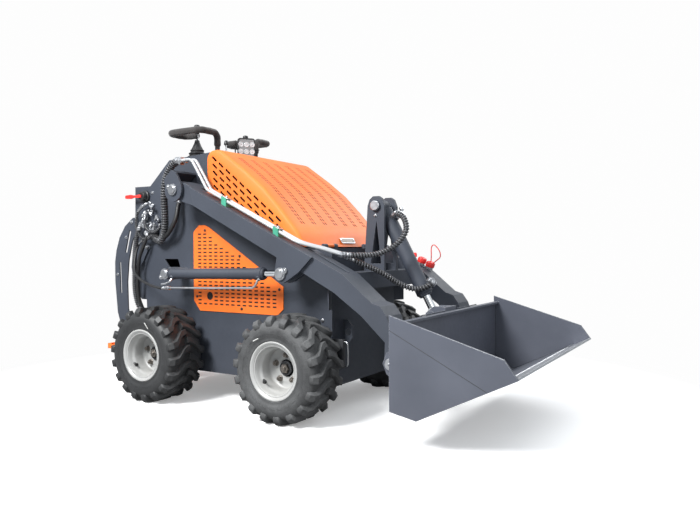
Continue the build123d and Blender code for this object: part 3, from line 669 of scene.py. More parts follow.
def make_tyre(wheel):
    name, side, axle_x, mark, lean, climb = wheel
    section = CARCASS + [(-y, r) for y, r in reversed(CARCASS[:-1])] + [CARCASS[0]]
    shapes = [about_axle(section, 108, side)]
    for index in range(LUG_COUNT):
        turn = radians(-90) + 2 * pi * (index + 0.5) / LUG_COUNT
        shapes.append(lug_shape(turn, side if index % 2 == 0 else -side))
    # The front tyres take the heavily greyed rubber: dust and painted light.
    finish = DUSTY_AND_LIT_RUBBER if axle_x > 0 else None
    tyre = wheel_piece(wheel, "tyre_tread", shapes, "tyre", finish, 36)
    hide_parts(f"tyre_{name}")

    # Short ribs round the sidewall, every third one lengthwise
    rib_points, rib_faces = put(slab([(-1.2, -9), (1.2, -9), (1.2, 9), (-1.2, 9)], 1.4), (0, 0, 0),
                                (0, side, 0))
    rib_at = Vector((157, side * 106.6, 0))
    ribs = []
    for step in range(72):
        spin = Matrix.Rotation(-2 * pi * step / 72, 3, "Y")
        upright = Matrix.Rotation(pi / 2, 3, "Y") if step % 3 else Matrix.Identity(3)
        scale = 0.7 if step % 3 else 1.0
        ribs.append(([spin @ (upright @ p * scale + rib_at) for p in rib_points], rib_faces))
    wheel_piece(wheel, "tyre_ribs", ribs, "tyre", finish)

    chalk = []
    for offset in range(-4, 5):
        angle, radius = radians(mark + offset * lean), 152 + offset * climb
        out = side * (106 + offset * climb * 0.25)
        chalk.append(Vector((cos(angle) * radius, out, sin(angle) * radius)))
    wheel_piece(wheel, "tyre_mark", [tube(chalk, 2.6, 8)], "tyre", MARK_WHITE)


# Rims
RIM_SECTION = [
    # distance outwards from the wheel's middle, radius; round the outside, then back behind the disc
    (97, 124), (100.5, 124), (102.3, 122), (102.6, 119), (101, 116), (97, 112), (93, 106), (90, 101),
    (86, 98.5), (74, 97.5), (69, 94), (64, 89.5), (58, 87.8), (28, 87.2), (18, 88), (12, 86), (8.5, 80),
    (7, 72), (6, 66), (7.5, 60), (7.5, 50), (6, 44), (6, 37), (-2, 37), (-2, 60), (0, 84), (6, 93),
    (-56, 93), (-66, 98), (-88, 101), (-97, 110), (-102, 118), (-101, 123), (-97, 124), (-95, 120),
    (-93.6, 103), (-92, 101.4), (92, 101.4), (93.6, 103), (95, 120), (97, 124),
]
NUT_CIRCLE_R = 57
NUT_COUNT = 5
VALVE_ANGLE = radians(218)


def make_rim(wheel):
    name, side = wheel[:2]
    facing = (0, side, 0)
    rim = wheel_piece(wheel, "rim_barrel", [about_axle(RIM_SECTION, 96, side)], "rim_paint", crease=60)
    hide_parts(f"rim_{name}")
    nuts = []
    for index in range(NUT_COUNT):
        angle = radians(90 + 360 / NUT_COUNT * index)
        at = Vector((NUT_CIRCLE_R * cos(angle), side * 7, NUT_CIRCLE_R * sin(angle)))
        nuts.append(put(boss(13.5, 2, 11, 4.5), at, facing))
        nuts.append(nut(11, 13, at + Vector((0, side * 3.5, 0)), facing, index * 0.4))
        nuts.append(put(boss(5, 5, 4.2, 6, 18), at + Vector((0, side * 16, 0)), facing))
    hub = [(0, 0), (29, 0), (31, 2), (31, 10), (29, 12), (25, 12), (24, 9), (0, 9)]
    wheel_piece(wheel, "hub", [put(lathe(hub, 48), (0, side * 5, 0), facing)], "rim_paint",
                FINISH["castings"], 40)
    nuts.append(nut(21, 15, (0, side * 13, 0), facing))
    nuts.append(put(boss(9, 6, 8, 7, 24), (0, side * 28, 0), facing))
    wheel_piece(wheel, "wheel_nuts", nuts, "rim_paint", NUT_STEEL)
    out = Vector((cos(VALVE_ANGLE), 0, sin(VALVE_ANGLE)))
    seat, lean = out * 92 + Vector((0, side * 66, 0)), Vector((0, side * 0.75, 0)) - out * 0.65
    stem = [(0, -2), (9, -2), (9.5, 1), (6, 5), (4.6, 9), (4.4, 24), (5.6, 25), (5.6, 36), (4.8, 38),
            (0, 38)]
    wheel_piece(wheel, "valve", [put(lathe(stem, 20), seat, lean)], "rim_paint", FINISH["black_plastic"])


for wheel in WHEELS:
    make_tyre(wheel)
    make_rim(wheel)


# Smooth the flat facets that the CAD model carries for its round sheet metal
for name in ("hood", "joysticks", "rear_guards", "stand_platform"):
    node = NODES[name]
    node.data.polygons.foreach_set("use_smooth", [True] * len(node.data.polygons))
    weld_points = node.modifiers.new("weld", "WELD")
    weld_points.merge_threshold = 0.00002
    split = node.modifiers.new("split", "EDGE_SPLIT")
    split.split_angle = radians(24 if name == "hood" else 32)

# Hood: the cut edges of its slots painted near black as painted shade, a near-black sheet under its top as
# painted shade seen through the slots, and a blank badge plate
SIDE_FACE_Y = 347
TOP_SLOTS_Y = 332
TOP_SLOTS_X = (-60, 395)
SIDE_SLOTS_START = -130


def in_slot(polygon):
    """Whether a face of the hood is the cut edge of a slot and not of a rim."""
    x, y, z = polygon.center * 1000 + Vector((X_CENTRE, 0, 0))
    if abs(y) > SIDE_FACE_Y:
        above_rim = z > 963 - (x + 138) * 0.371
        return abs(polygon.normal.y) < 0.35 and x > SIDE_SLOTS_START and above_rim
    return abs(y) < TOP_SLOTS_Y and TOP_SLOTS_X[0] < x < TOP_SLOTS_X[1] and abs(polygon.normal.z) < 0.1


hood = NODES["hood"]
# The slots' cut edges take the near-black finish, painted shade.
hood.data.materials.append(PAINTED_SHADE_BLACK)
for polygon in hood.data.polygons:
    polygon.material_index = 1 if in_slot(polygon) else 0
# A near-black sheet under the hood's top, painted shade seen through the slots.
SHADE_SHEET = [(-128, 1186), (-60, 1186), (-42, 1174), (196, 1004), (386, 792), (410, 744)]
shade_sheet = side_slab(SHADE_SHEET + [(x - 2, z - 3) for x, z in reversed(SHADE_SHEET)], -336, 672)
piece("hood_shade_sheet", [shade_sheet], "hood_cover", "black_plastic", PAINTED_SHADE_BLACK, crease=20)
FOOT_FACE = Vector((0.894, 0, 0.447))
badge_at = Vector((426, 12, 771))
badge = put(brick(122, 28, 2.0, 4), badge_at, FOOT_FACE)
piece("hood_badge_field", [put(brick(110, 19, 2.6, 3), badge_at, FOOT_FACE)],
      "hood_cover", "panel_paint", NUT_STEEL)
piece("hood_badge_plate", [badge], "hood_cover", "panel_paint", FINISH["steel"], bevel=0.6)
rivets = []
for y in (badge_at.y - 56, badge_at.y + 56):
    rivets += button_screw((badge_at.x + 2.1, y, badge_at.z + 1.1), FOOT_FACE, 4)
piece("hood_badge_rivets", rivets, "hood_cover", "panel_paint", FINISH["rod_chrome"])

# Side panels: a near-black sheet behind the slots, painted shade seen through them, and their screws
PANEL_SHADE_SHEET = [(-246, 437), (232, 437), (261, 463), (261, 556), (-192, 834), (-216, 845), (-252, 845),
              (-285, 817), (-285, 484)]
pair("panel_shade_sheet", [side_slab(PANEL_SHADE_SHEET, 286.2, 1.2)], "chassis", "black_plastic", PAINTED_SHADE_BLACK)
PANEL_SCREWS = [(-214, 826), (-270, 500), (20, 450), (246, 548), (10, 700)]
screws = []
for x, z in PANEL_SCREWS:
    screws += button_screw((x, 289, z), LEFT, 7)
pair("panel_screws", screws, "chassis", "steel", FINISH["castings"])

# Chassis bolts
body_bolts = []
for x, z in ((-590, 1030), (-500, 1110), (-560, 300), (480, 200), (480, 420), (480, 660), (-560, 180)):
    body_bolts += bolt((x, PLATE_FACE, z), LEFT, 7)
for x, z in ((-745, 880), (-690, 222), (-862, 600), (-790, 800)):
    body_bolts += bolt((x, GUARD_FACE, z), LEFT, 7)
pair("chassis_bolts", body_bolts, "chassis", "steel")

# Side lever: a folded latch handle on the rear of each side plate
latch = [put(brick(24, 122, 6, 11), (-655, 289, 696), LEFT, radians(33)),
         put(turned([(15, 0), (15, 5), (9, 9), (9, 14)], 28), (-623, 285, 745), LEFT)]
pair("side_latch", latch, "chassis", "body_paint", bevel=1.0)
piece("side_latch_bolt", both_sides(*bolt((-623, 298, 745), LEFT, 8), *bolt((-686, 295, 648), LEFT, 7)),
      "chassis", "steel")

# Battery switch on the right: black body with a red key
SWITCH_X = -640
SWITCH_Z = 1012
switch = turned([(32, 0), (32, 10), (27, 14), (24, 30), (20, 34)], 36)
piece("battery_switch", [put(switch, (SWITCH_X, -PLATE_FACE, SWITCH_Z), RIGHT)], "chassis", "black_plastic",
      bevel=0.8)
KEY = [(-6, -8), (46, -6), (70, -11), (110, -9), (114, 0), (110, 9), (70, 11), (46, 6), (-6, 8)]
key = put(slab(KEY, 9), (SWITCH_X - 2, -PLATE_FACE - 32, SWITCH_Z), RIGHT, pi)
piece("battery_switch_key", [key], "chassis", "black_plastic", CAP_RED, bevel=1.5)

# Bulkhead fittings behind the key, each an elbow with its nuts
FITTINGS = [
    # x, z, which way the elbow turns (x, z)
    (-606, 974, (-0.9, -0.5)), (-584, 962, (0.9, -0.4)), (-618, 934, (-0.5, -0.9)),
    (-590, 930, (0.9, -0.5)), (-632, 898, (-0.3, -1.0)), (-545, 886, (0.7, 0.5)),
    (-572, 862, (-0.6, -0.8)), (-604, 868, (-0.9, -0.5)),
]
fittings = []
for x, z, (dx, dz) in FITTINGS:
    way = Vector((dx, 0, dz)).normalized()
    port, outlet = (x, -PLATE_FACE, z), Vector((x, -PLATE_FACE - 29, z))
    elbow = [port, (x, -303, z), Vector((x, -312, z)) + way * 7, outlet + way * 26]
    fittings.append(tube(smooth_line(elbow, 5), 6.5, 12))
    fittings.append(nut(13, 10, port, RIGHT, x))
    fittings.append(nut(10.5, 12, outlet + way * 20, way, z))
piece("bulkhead_fittings", fittings, "chassis", "steel")

# Hoses: a tube, its spiral wrap where it has one, and a fitting at each end
LIFT_CYLINDER_HOSE = [
    (-326, 428, 549), (-380, 426, 545), (-470, 418, 560), (-560, 396, 584), (-640, 362, 620),
    (-676, 330, 690), (-676, 306, 760), (-660, 285, 790),
]
HOSES = [
    # name, radius, pitch of its wrap (0: bare), body or pair of bodies, route
    ("bulkhead_hose_a", 6, 9, "chassis", [
        (-634, -314, 962), (-668, -318, 925), (-676, -320, 860), (-640, -322, 800), (-590, -320, 790),
        (-552, -318, 820), (-548, -314, 868)]),
    ("bulkhead_hose_b", 6, 9, "chassis", [
        (-610, -312, 925), (-606, -326, 880), (-580, -330, 838), (-540, -326, 822), (-505, -320, 840),
        (-500, -300, 862), (-500, -285, 866)]),
    ("bulkhead_hose_c", 10, 11, "chassis", [
        (-640, -314, 872), (-664, -322, 820), (-690, -318, 740), (-700, -314, 640), (-704, -310, 520),
        (-690, -300, 440), (-660, -286, 400)]),
    ("bulkhead_hose_d", 9, 0, "chassis", [
        (-584, -314, 842), (-600, -330, 770), (-640, -332, 690), (-660, -326, 600), (-668, -318, 500),
        (-660, -300, 430), (-640, -286, 390)]),
    ("arm_hose_outer", 15, 13, ("chassis", "arms"), [
        (-248, -401, 1157), (-272, -401, 1158), (-304, -402, 1148), (-342, -400, 1118), (-375, -394, 1060),
        (-398, -380, 980), (-418, -358, 900), (-444, -338, 830), (-490, -322, 780), (-540, -312, 792),
        (-560, -300, 830), (-566, -285, 850)]),
    ("arm_hose_inner", 11, 0, "chassis", [
        (-372, -294, 1000), (-366, -318, 950), (-366, -334, 890), (-392, -342, 838), (-430, -336, 806),
        (-490, -322, 790), (-560, -312, 812), (-610, -300, 820), (-622, -285, 822)]),
    ("tilt_hose_upper", 9.5, 13, ("arms", "tilt_cylinder"), [
        (600, -318, 708), (650, -270, 704), (704, -205, 708), (752, -150, 736), (782, -112, 778),
        (790, -88, 820), (766, -66, 868), (722, -48, 890), (694, -32, 878)]),
    ("tilt_hose_lower", 9.5, 13, ("arms", "tilt_cylinder"), [
        (609, -300, 702), (650, -252, 672), (690, -200, 645), (722, -160, 620), (762, -105, 580),
        (812, -64, 556), (852, -36, 562), (878, -14, 580), (886, -4, 574)]),
    ("lift_hose_right", 6.5, 0, ("lift_cylinders", "chassis"),
     [(x, -y, z) for x, y, z in LIFT_CYLINDER_HOSE]),
    ("lift_hose_left", 6.5, 0, ("lift_cylinders", "chassis"), LIFT_CYLINDER_HOSE),
]
for name, radius, pitch, body, route in HOSES:
    line = smooth_line(route, 10)
    crossing = isinstance(body, tuple)
    only_body = None if crossing else body
    made = [piece(name, [tube(line, radius, 16)], only_body, "black_plastic", HOSE_BLACK, crease=60)]
    if pitch:
        # The wrap's grey is a painted highlight on its turns.
        wrap = spiral(line, radius + 0.8, pitch * 0.27, pitch)
        made.append(piece(f"{name}_wrap", [wrap], only_body, "black_plastic", WRAP_HIGHLIGHT_GREY, crease=80))
    ends = []
    for at, after in ((line[0], line[2]), (line[-1], line[-3])):
        ends += hose_end(at, after - at, radius * 0.9)
    made.append(piece(f"{name}_ends", ends, only_body, "steel"))
    if crossing:
        # The first body's end is the route's first point, but its last on the arm's outer hose
        start, end = (route[-1], route[0]) if name == "arm_hose_outer" else (route[0], route[-1])
        for thing in made:
            tuple(place(*start))
            tuple(place(*end))
            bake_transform(thing)

# Steel pipe along each lift barrel, and the barrel's ports
AXIS = Vector((LIFT_ROD[0] - LIFT_BASE[0], 0, LIFT_ROD[1] - LIFT_BASE[1])).normalized()


def lift_point(distance, y, down):
    """A point along the lift cylinder's axis, a distance below it."""
    at = Vector((LIFT_BASE[0], y, LIFT_BASE[1])) + AXIS * distance
    return at + Vector((AXIS.z, 0, -AXIS.x)) * down


PIPE_R = 5.2
long_pipe = [lift_point(588, 416, 22)]
long_pipe += smooth_line([lift_point(588, 428, 32), lift_point(576, 429, 52), lift_point(560, 429, 62)], 8)
long_pipe += [lift_point(300, 429, 66), lift_point(60, 429, 67), lift_point(36, 429, 68)]
short_pipe = [lift_point(48, 420, 22), lift_point(44, 428, 36), lift_point(20, 430, 46),
              lift_point(-14, 428, 50)]
pipe_parts = [tube(long_pipe, PIPE_R), nut(10, 13, lift_point(26, 429, 68), -AXIS),
              nut(10, 13, lift_point(44, 429, 68), -AXIS),
              put(boss(9, 8, 7, 12, 6), lift_point(588, 412, 20), (0, 0.7, -0.7)),
              tube(smooth_line(short_pipe, 6), PIPE_R)]
port_parts = []
for distance in (588, 48):
    port_parts.append(put(boss(13, 9, 11, 11), lift_point(distance, 414, 14), (0, 0.6, -0.8)))
gland = [(14.6, 0), (28.4, 0), (28.8, 4), (28.8, 22), (27, 24), (25, 24.5), (25, 30), (22, 33), (16, 33),
         (14.6, 31)]
gland_parts = [put(lathe(gland, 48), lift_point(LIFT_BARREL_END - 22, LIFT_Y, 0), AXIS)]
for distance in (22, 40):
    gland_parts.append(put(lathe([(24.9, 0), (26, 0.5), (26.4, 3), (26, 5.5), (24.9, 6)], 48),
                           lift_point(distance, LIFT_Y, 0), AXIS))
pair("lift_pipes", pipe_parts, "lift_cylinders", "steel", bevel=0.5)
pair("lift_ports", port_parts, "lift_cylinders", "body_paint")
pair("lift_glands", gland_parts, "lift_cylinders", "body_paint")

# Tilt cylinder: gland, ports and T fittings
TILT_AXIS = Vector((TILT_PIN[0] - TOWER_PIN[0], 0, TILT_PIN[1] - TOWER_PIN[1])).normalized()
TILT_FRONT = Vector((-TILT_AXIS.z, 0, TILT_AXIS.x))


def tilt_point(distance, y=0, front=0):
    return Vector((TOWER_PIN[0], y, TOWER_PIN[1])) + TILT_AXIS * distance + TILT_FRONT * front


tilt_parts = [put(lathe([(17.6, 0), (37, 0), (37.5, 4), (37.5, 28), (35, 31), (31, 32), (31, 38), (27, 42),
                         (19, 42), (17.6, 40)], 56), tilt_point(TILT_BARREL_END - 32), TILT_AXIS),
              put(lathe([(33.8, 0), (35.2, 1), (35.6, 4), (35.2, 7), (33.8, 8)], 56), tilt_point(52),
                  TILT_AXIS)]
for distance in (78, 424):
    tilt_parts.append(put(boss(15, 10, 13, 12, 30), tilt_point(distance, 0, 30), TILT_FRONT))
piece("tilt_gland_and_ports", tilt_parts, "tilt_cylinder", "body_paint")
tee_at = tilt_point(78, 0, 71)
tee = [tube([tilt_point(78, 0, 40), tilt_point(78, 0, 66)], 7.5, 16),
       nut(13, 12, tilt_point(78, 0, 41), TILT_FRONT),
       put(brick(18, 18, 18, 3), tilt_point(78, 0, 62), TILT_FRONT),
       tube([tee_at, tilt_point(98, 0, 71)], 6.5, 14),
       nut(10.5, 12, tilt_point(90, 0, 71), TILT_AXIS),
       tube([tee_at, tilt_point(78, -34, 71)], 6.5, 14),
       nut(10.5, 14, tilt_point(78, -22, 71), RIGHT),
       tube([tee_at, tilt_point(54, 0, 84)], 6.5, 14),
       nut(10.5, 14, tilt_point(64, 0, 79), -TILT_AXIS),
       tube(smooth_line([tilt_point(424, 0, 40), tilt_point(424, 0, 56), tilt_point(418, -6, 66),
                         tilt_point(408, -14, 68)], 5), 7, 14),
       nut(12.5, 12, tilt_point(424, 0, 41), TILT_FRONT)]
piece("tilt_fittings", tee, "tilt_cylinder", "steel")

# Pins: bolts on their flags, grease nipples, and end caps on the hinge pins
pin_bits = []
for pin, y, tip in ((PIVOT, 451, 150), (LIFT_BASE, 422, 210)):
    angle = radians(tip)
    pin_bits += button_screw(beside(pin, y, cos(angle) * 31, sin(angle) * 31), LEFT, 6)
    pin_bits.append(put(boss(20, 5, 18, 7, 40), beside(pin, y), LEFT))
pair("chassis_pin_bits", pin_bits, "chassis", "steel")
pin_bits = button_screw(beside(LIFT_ROD, 448, 27, 15.5), LEFT, 6)
pin_bits.append(put(boss(20, 4, 18, 6, 40), beside(LIFT_ROD, 448), LEFT))
pair("arm_pin_bits", pin_bits, "arms", "steel")
cap = turned([(21, 0), (23, 2), (23, 8), (20, 11)], 40)
hinge_bits = both_sides(put(cap, beside(HINGE, 443), LEFT), grease_nipple(beside(HINGE, 453), LEFT))
piece("hinge_pin_caps", hinge_bits, "bucket_frame", "steel")
tower_cap = boss(23, 9, 20, 12, 40)
piece("tower_pin_caps", both_sides(put(tower_cap, beside(TOWER_PIN, 70), LEFT),
                                   *bolt(beside(TOWER_PIN, 66, -2, -44), LEFT, 6)), "arms", "steel")

# Handles: foam sleeves over the loops, plugs on their ends
HANDLE_FOOT = (-257, 150)
HANDLE_Z = 1330
HANDLE_CORNERS = [(-257, 190), (-257, 230), (-261, 252), (-276, 266), (-300, 270), (-437, 270), (-462, 265),
                  (-477, 250), (-482, 228), (-482, 195), (-477, 170), (-462, 155), (-437, 150), (-403, 150)]
HANDLE_LOOP = [(*HANDLE_FOOT, 1262), (*HANDLE_FOOT, 1290), (-257, 153, 1312), (-257, 168, 1327),
               *[(x, y, HANDLE_Z) for x, y in HANDLE_CORNERS]]
foam_line = smooth_line(HANDLE_LOOP, 5)
sizes = [17.0 + 0.35 * sin(i * 0.9) for i in range(len(foam_line))]
sizes[0], sizes[-1] = 15.0, 14.0
foam = tube(foam_line, sizes, 22)
end_plug = put(lathe([(0, 0), (17.5, 0), (17.5, 3), (15, 7), (8, 9), (0, 9.4)], 26), (-402, 150, HANDLE_Z),
               (1, 0, 0))
pair("handle_foam", [foam, end_plug], "chassis", "grip_foam", crease=50)
foot = lathe([(12, 0), (27, 0), (27, 5), (24, 7), (14, 8), (12, 8)], 36)
foot_bolts = []
for angle in (radians(45), radians(165), radians(285)):
    at = (HANDLE_FOOT[0] + 20 * cos(angle), HANDLE_FOOT[1] + 20 * sin(angle), CONSOLE_Z + 6)
    foot_bolts += bolt(at, UP, 4)
pair("handle_feet", [put(foot, (*HANDLE_FOOT, CONSOLE_Z))], "chassis", "body_paint")
pair("handle_foot_bolts", foot_bolts, "chassis", "steel")

# Joysticks: bellows, stem and shaped grip
STICK = (-362, 188)
BELLOWS = [(0, 0), (53, 0), (54, 3), (50, 6), (44, 12), (49, 17), (49.5, 20), (45, 23), (38, 29), (43, 34),
           (43.5, 37), (39, 40), (32, 46), (35, 51), (35, 54), (30, 58), (22, 74), (16, 88), (13, 96),
           (12, 104), (8, 107), (0, 107)]
boot = put(lathe(BELLOWS, 56), (*STICK, CONSOLE_Z))
stem = put(rod(6.2, 42), (*STICK, CONSOLE_Z + 104))
knob = put(lathe([(0, 0), (8, 0), (11, 4), (13, 12), (12.4, 20), (13.4, 30), (15, 38), (14.6, 44), (11, 48),
                  (5, 49.6), (0, 50)], 36), (*STICK, CONSOLE_Z + 136))
flange = put(brick(118, 118, 4, 14), (*STICK, CONSOLE_Z - 0.5))
boots = piece("joystick_boots", both_sides(boot, knob), "chassis", "black_plastic", crease=50)
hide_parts("joysticks")
pair("joystick_stems", [stem], "chassis", "black_plastic", FINISH["rod_chrome"])
pair("joystick_flanges", [flange], "chassis", "black_plastic", bevel=1.0)

# Throttle: bright stem and black knob in a slotted gate
THROTTLE = (-335, 0)
throttle = [put(lathe([(0, 0), (11, 0), (12, 4), (11, 16), (7, 24), (0, 26)], 30),
                (*THROTTLE, CONSOLE_Z + 104))]
lever = piece("throttle_knob", throttle, "chassis", "black_plastic")
stem = put(rod(4, 106, 18), (*THROTTLE, CONSOLE_Z))
piece("throttle_stem", [stem], "chassis", "black_plastic", FINISH["rod_chrome"])
piece("throttle_gate", [put(brick(86, 30, 5, 6), (*THROTTLE, CONSOLE_Z - 0.5))], "chassis", "black_plastic",
      bevel=1.0)
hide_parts("throttle_lever")

# Work lamp: finned housing, bezel and six lenses in their reflectors
lamp_turn = Matrix.Rotation(radians(-38), 3, "Z")
LAMP_FOOT = (-240, 48)
lamp_at = Vector((*LAMP_FOOT, CONSOLE_Z + 82))


def lamp_put(shape, at, facing=(1, 0, 0)):
    points, faces = put(shape, at, facing)
    return [lamp_turn @ p + lamp_at for p in points], faces


def lamp_slab(width, height, radius, depth, x):
    return lamp_put(slab(rounded(width, height, radius, 6), depth), (x, 0, 0))


shell = [lamp_slab(94, 108, 14, 16, 9), lamp_slab(84, 96, 12, 22, -14)]
fins = [lamp_put(brick(76, 4, 14, 1.5), (-26, y, 0)) for y in range(-40, 41, 10)]
bracket = [lamp_put(brick(20, 4, 66, 1.5), (0, side * 56, -66), UP) for side in (-1, 1)]
bracket.append(lamp_put(brick(24, 116, 4, 2), (0, 0, -70), UP))
bracket.append(put(brick(56, 56, 5, 5), (*LAMP_FOOT, CONSOLE_Z)))
bracket.append(put(rod(9, 14, 24), (*LAMP_FOOT, CONSOLE_Z + 2)))
lamp = piece("lamp_body", [*shell, *fins, *bracket], "chassis", "black_plastic", bevel=1.6)
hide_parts("work_lamp")
CELL = [(0, 0), (13.5, 0), (14, 0.6), (12.5, 1.8), (5, 1.0), (3, 2.2), (0, 2.6)]
cells = []
for z in (-19, 19):
    cells += [lamp_put(lathe(CELL, 32), (25.6, y, z)) for y in (-30, 0, 30)]
pane = lamp_put(brick(78, 92, 0.8, 8), (24.9, 0, 0))
piece("lamp_pane", [pane], "chassis", "black_plastic", LAMP_GREY)
piece("lamp_cells", cells, "chassis", "black_plastic", LAMP_WHITE)

# Instrument slope: dials, key switch and rockers, all blank
SLOPE = Vector((-125, 0, 143)).normalized()
SLOPE_UP = Vector((143, 0, 125)).normalized()
SLOPE_MIDDLE = Vector((-534.5, 0, 1127.5))


def on_slope(y, up):
    return SLOPE_MIDDLE + Vector((0, y, 0)) + SLOPE_UP * up


DIAL_R = 27
DIAL_RING = [(0, 0), (DIAL_R + 5, 0), (DIAL_R + 5, 5), (DIAL_R + 2, 8), (DIAL_R, 8), (DIAL_R, 4), (0, 4)]
dials, faces, plates = [], [], []
for y in (-150, -70):
    at = on_slope(y, 18)
    dials.append(put(lathe(DIAL_RING, 40), at, SLOPE))
    faces.append(put(turned([(DIAL_R, 4.2), (DIAL_R, 4.4)], 36), at, SLOPE))
for y in (20, 64, 108):
    at = on_slope(y, 14)
    dials += [put(brick(24, 36, 5, 3), at, SLOPE), put(brick(18, 26, 9, 3), at, SLOPE)]
key_at = on_slope(190, 14)
dials.append(put(turned([(17, 0), (17, 5), (12, 9), (12, 14)], 30), key_at, SLOPE))
plates.append(put(brick(3, 20, 16, 1), key_at + SLOPE * 14, SLOPE))
plates.append(put(brick(60, 90, 1.6, 4), on_slope(90, -52), SLOPE))
piece("console_instruments", dials, "chassis", "black_plastic", bevel=0.8)
piece("console_dial_faces", faces, "chassis", "black_plastic", MARK_WHITE)
piece("console_key_and_plate", plates, "chassis", "steel", bevel=0.4)

# Couplers with red dust caps on the left arm's knee
COUPLER_Y = 395
COUPLER_WAY = (0.35, 0, 0.93)
couplers, caps = [], []
for x, z in ((616, 640), (662, 618)):
    body = turned([(20, 0), (20, 8), (16, 10), (16, 34), (19, 36), (19, 50)], 32)
    couplers.append(put(body, (x, COUPLER_Y, z - 22), COUPLER_WAY))
    cap = lathe([(0, 0), (22, 0), (23, 3), (23, 18), (21, 24), (12, 28), (0, 29)], 32)
    caps.append(put(cap, (x + 16, COUPLER_Y, z + 22), COUPLER_WAY))
lanyard = [(688, 395, 650), (712, 394, 668), (738, 392, 690), (734, 390, 722), (708, 388, 750),
           (692, 388, 738), (690, 390, 690), (686, 393, 652)]
caps += [tube(smooth_line(lanyard), 2.6, 8), put(boss(12, 18, 9, 22, 26), (596, 390, 690), UP)]
piece("coupler_bodies", [*couplers, put(brick(120, 44, 10, 4), (632, 395, 628), (0.427, 0, 0.904))],
      "arms", "steel", bevel=0.6)
piece("coupler_caps", caps, "arms", "black_plastic", CAP_RED)

# White tubes along the right arm, with their tight bends
TUBE_Y = -410
TUBE_RUN = [(-246, 1157), (-205, 1159), (-182, 1155), (-166, 1140), (-121, 1074), (-84, 1018), (-70, 1006),
            (-40, 991), (33, 956), (330, 813), (400, 779)]
TUBE_ROUTE = [*[(x, TUBE_Y, z) for x, z in TUBE_RUN], (440, -406, 761), (480, -388, 748), (530, -358, 733),
              (566, -337, 720), (600, -318, 708)]
tubes = []
for step in ((0, 0, 0), (9, 18, 0)):
    line = smooth_line([Vector(p) + Vector(step) for p in TUBE_ROUTE], 6)
    tubes.append(tube(line, 7, 20))
bright_tubes = piece("bright_arm_tubes", tubes, "arms", "steel", TUBE_WHITE, crease=60)
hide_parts("arm_tubes")

# Tube clamps: their bolts and metal top plates
clamp_bits = []
for x in (33, 330):
    z = 1002 - (x + 62) * (1002 - 779) / 462 + 12
    clamp_bits.append(put(brick(26, 40, 3, 2), (x, -401, z), (0.435, 0, 0.9)))
    clamp_bits += bolt((x + 1, -401, z + 3), (0.435, 0, 0.9), 6)
piece("clamp_bits", clamp_bits, "arms", "steel", bevel=0.4)
tube_nuts = []
for (x, y, z), way in (((-238, -410, 1157), (-1, 0, 0)), ((-229, -392, 1157), (-1, 0, 0)),
                       ((588, -322, 710), (0.83, 0.42, -0.3)), ((597, -304, 710), (0.83, 0.42, -0.3))):
    tube_nuts.append(nut(12, 18, (x, y, z), way))
piece("tube_nuts", tube_nuts, "arms", "steel")

# Welds on the arms, tower, ears and bucket
arm_welds = [weld((-160, 426, 1020), (528, 426, 697), 3.2), weld((-134, 426, 932), (350, 426, 696), 3.2),
             weld((470, 364, 731), (668, 364, 634), 3.0), weld((668, 300, 633), (668, 300, 562), 3.5)]
tower_welds = [weld((606, 50, 633), (667, 50, 633), 3.5), weld((606, 66, 633), (667, 66, 633), 3.5),
               weld((563, 50, 636), (573, 50, 846), 2.6)]
piece("arm_welds", both_sides(*arm_welds, *tower_welds), "arms", "body_paint", crease=80)
ear_welds = [weld((-330, 286, 1069), (-280, 286, 1113), 3.5),
             weld((-326, 430, 1066), (-282, 430, 1106), 3.0)]
pair("ear_welds", ear_welds, "chassis", "body_paint", crease=80)
bucket_welds = [weld((1067, BUCKET_INNER, 131), (1350, BUCKET_INNER, 271), 3.5),
                weld((969, BUCKET_INNER, 150), (1066, BUCKET_INNER, 131), 3.5),
                weld((969, BUCKET_INNER, 150), (969, BUCKET_INNER, 460), 3.5),
                weld((962, 300, 466), (962, 60, 466), 2.5)]
pair("bucket_welds", bucket_welds, "bucket_frame", "body_paint", crease=80)
# The seam on each bucket side below the upper plate: a thin near-black bead, a painted shadow cast by the
# plate's edge.
seam_shadow_line = [weld((961, BUCKET_HALF - 0.4, 437), (1328, BUCKET_HALF - 0.4, 252), 1.3)]
pair("bucket_side_seam_shadow", seam_shadow_line, "bucket_frame", "body_paint", FINISH["castings"], crease=80)
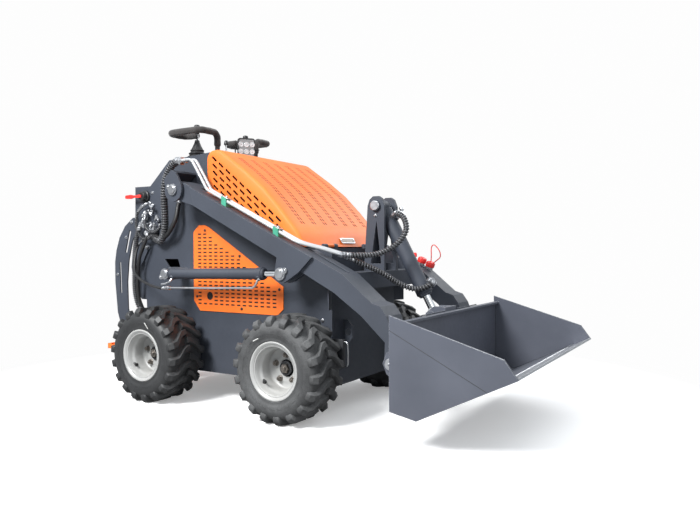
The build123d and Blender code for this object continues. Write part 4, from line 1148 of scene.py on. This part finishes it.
lip_weld = weld((1350, -BUCKET_INNER, 270.5), (1350, BUCKET_INNER, 270.5), 3.6)
piece("bucket_lip_weld", [lip_weld], "bucket_frame", "worn_edge", crease=80)

# Plates that close the gap between each side plate and its rear guard, and the front wings over the wheels
WEB = [(-606, 470), (-606, 905), (-640, 905), (-742, 840), (-770, 640), (-740, 520), (-690, 470)]
pair("guard_webs", [side_slab(WEB, 271, 6)], "chassis", "body_paint", bevel=1.0)
wing = slab([(0, 0), (62, 0), (62, 150), (40, 196), (0, 196)], 6)
wings = ([Vector((530 + p.x * 0.4 - p.z, 285 + p.x, 472 + p.y)) for p in wing[0]], wing[1])
pair("front_wings", [wings], "chassis", "body_paint", bevel=1.0)

# Stand: rear lip and raised tread lozenges
lip = side_slab([(STAND_X[0], 180), (STAND_X[0] + 5, 180), (STAND_X[0] + 5, 208), (STAND_X[0], 208)],
                -STAND_HALF, 2 * STAND_HALF)
ends = both_sides(side_slab([(STAND_X[0], 180), (STAND_X[0] + 70, 180), (STAND_X[0] + 70, 188),
                             (STAND_X[0] + 20, 208), (STAND_X[0], 208)], STAND_HALF - 5, 5))
piece("stand_lip", [lip, *ends], "stand", "panel_paint", bevel=1.0)
lozenges = []
for row in range(11):
    for column in range(15):
        x = STAND_X[0] + 26 + row * 32
        y = -STAND_HALF + 26 + column * 32
        if x < STAND_X[1] - 20:
            spin = radians(45 if (row + column) % 2 else -45)
            low = slab([(-12, 0), (0, -3.4), (12, 0), (0, 3.4)], 1.8)
            lozenges.append(put(low, (x, y, STAND_TOP - 0.1), UP, spin))
piece("stand_tread", lozenges, "stand", "panel_paint", bevel=0.5)

# Light wire handle and its dark block beside the front wheel
bar = tube(smooth_line([(590, -300, 232), (616, -303, 236), (622, -304, 256), (622, -304, 312),
                        (616, -303, 334), (590, -300, 338)], 8), 3.5, 12)
pair("step_wire", [bar], "chassis", "steel")
pair("step_block", [put(brick(70, 20, 122, 4), (566, 299, 224))], "chassis", "body_paint",
     FINISH["castings"], bevel=1.5)
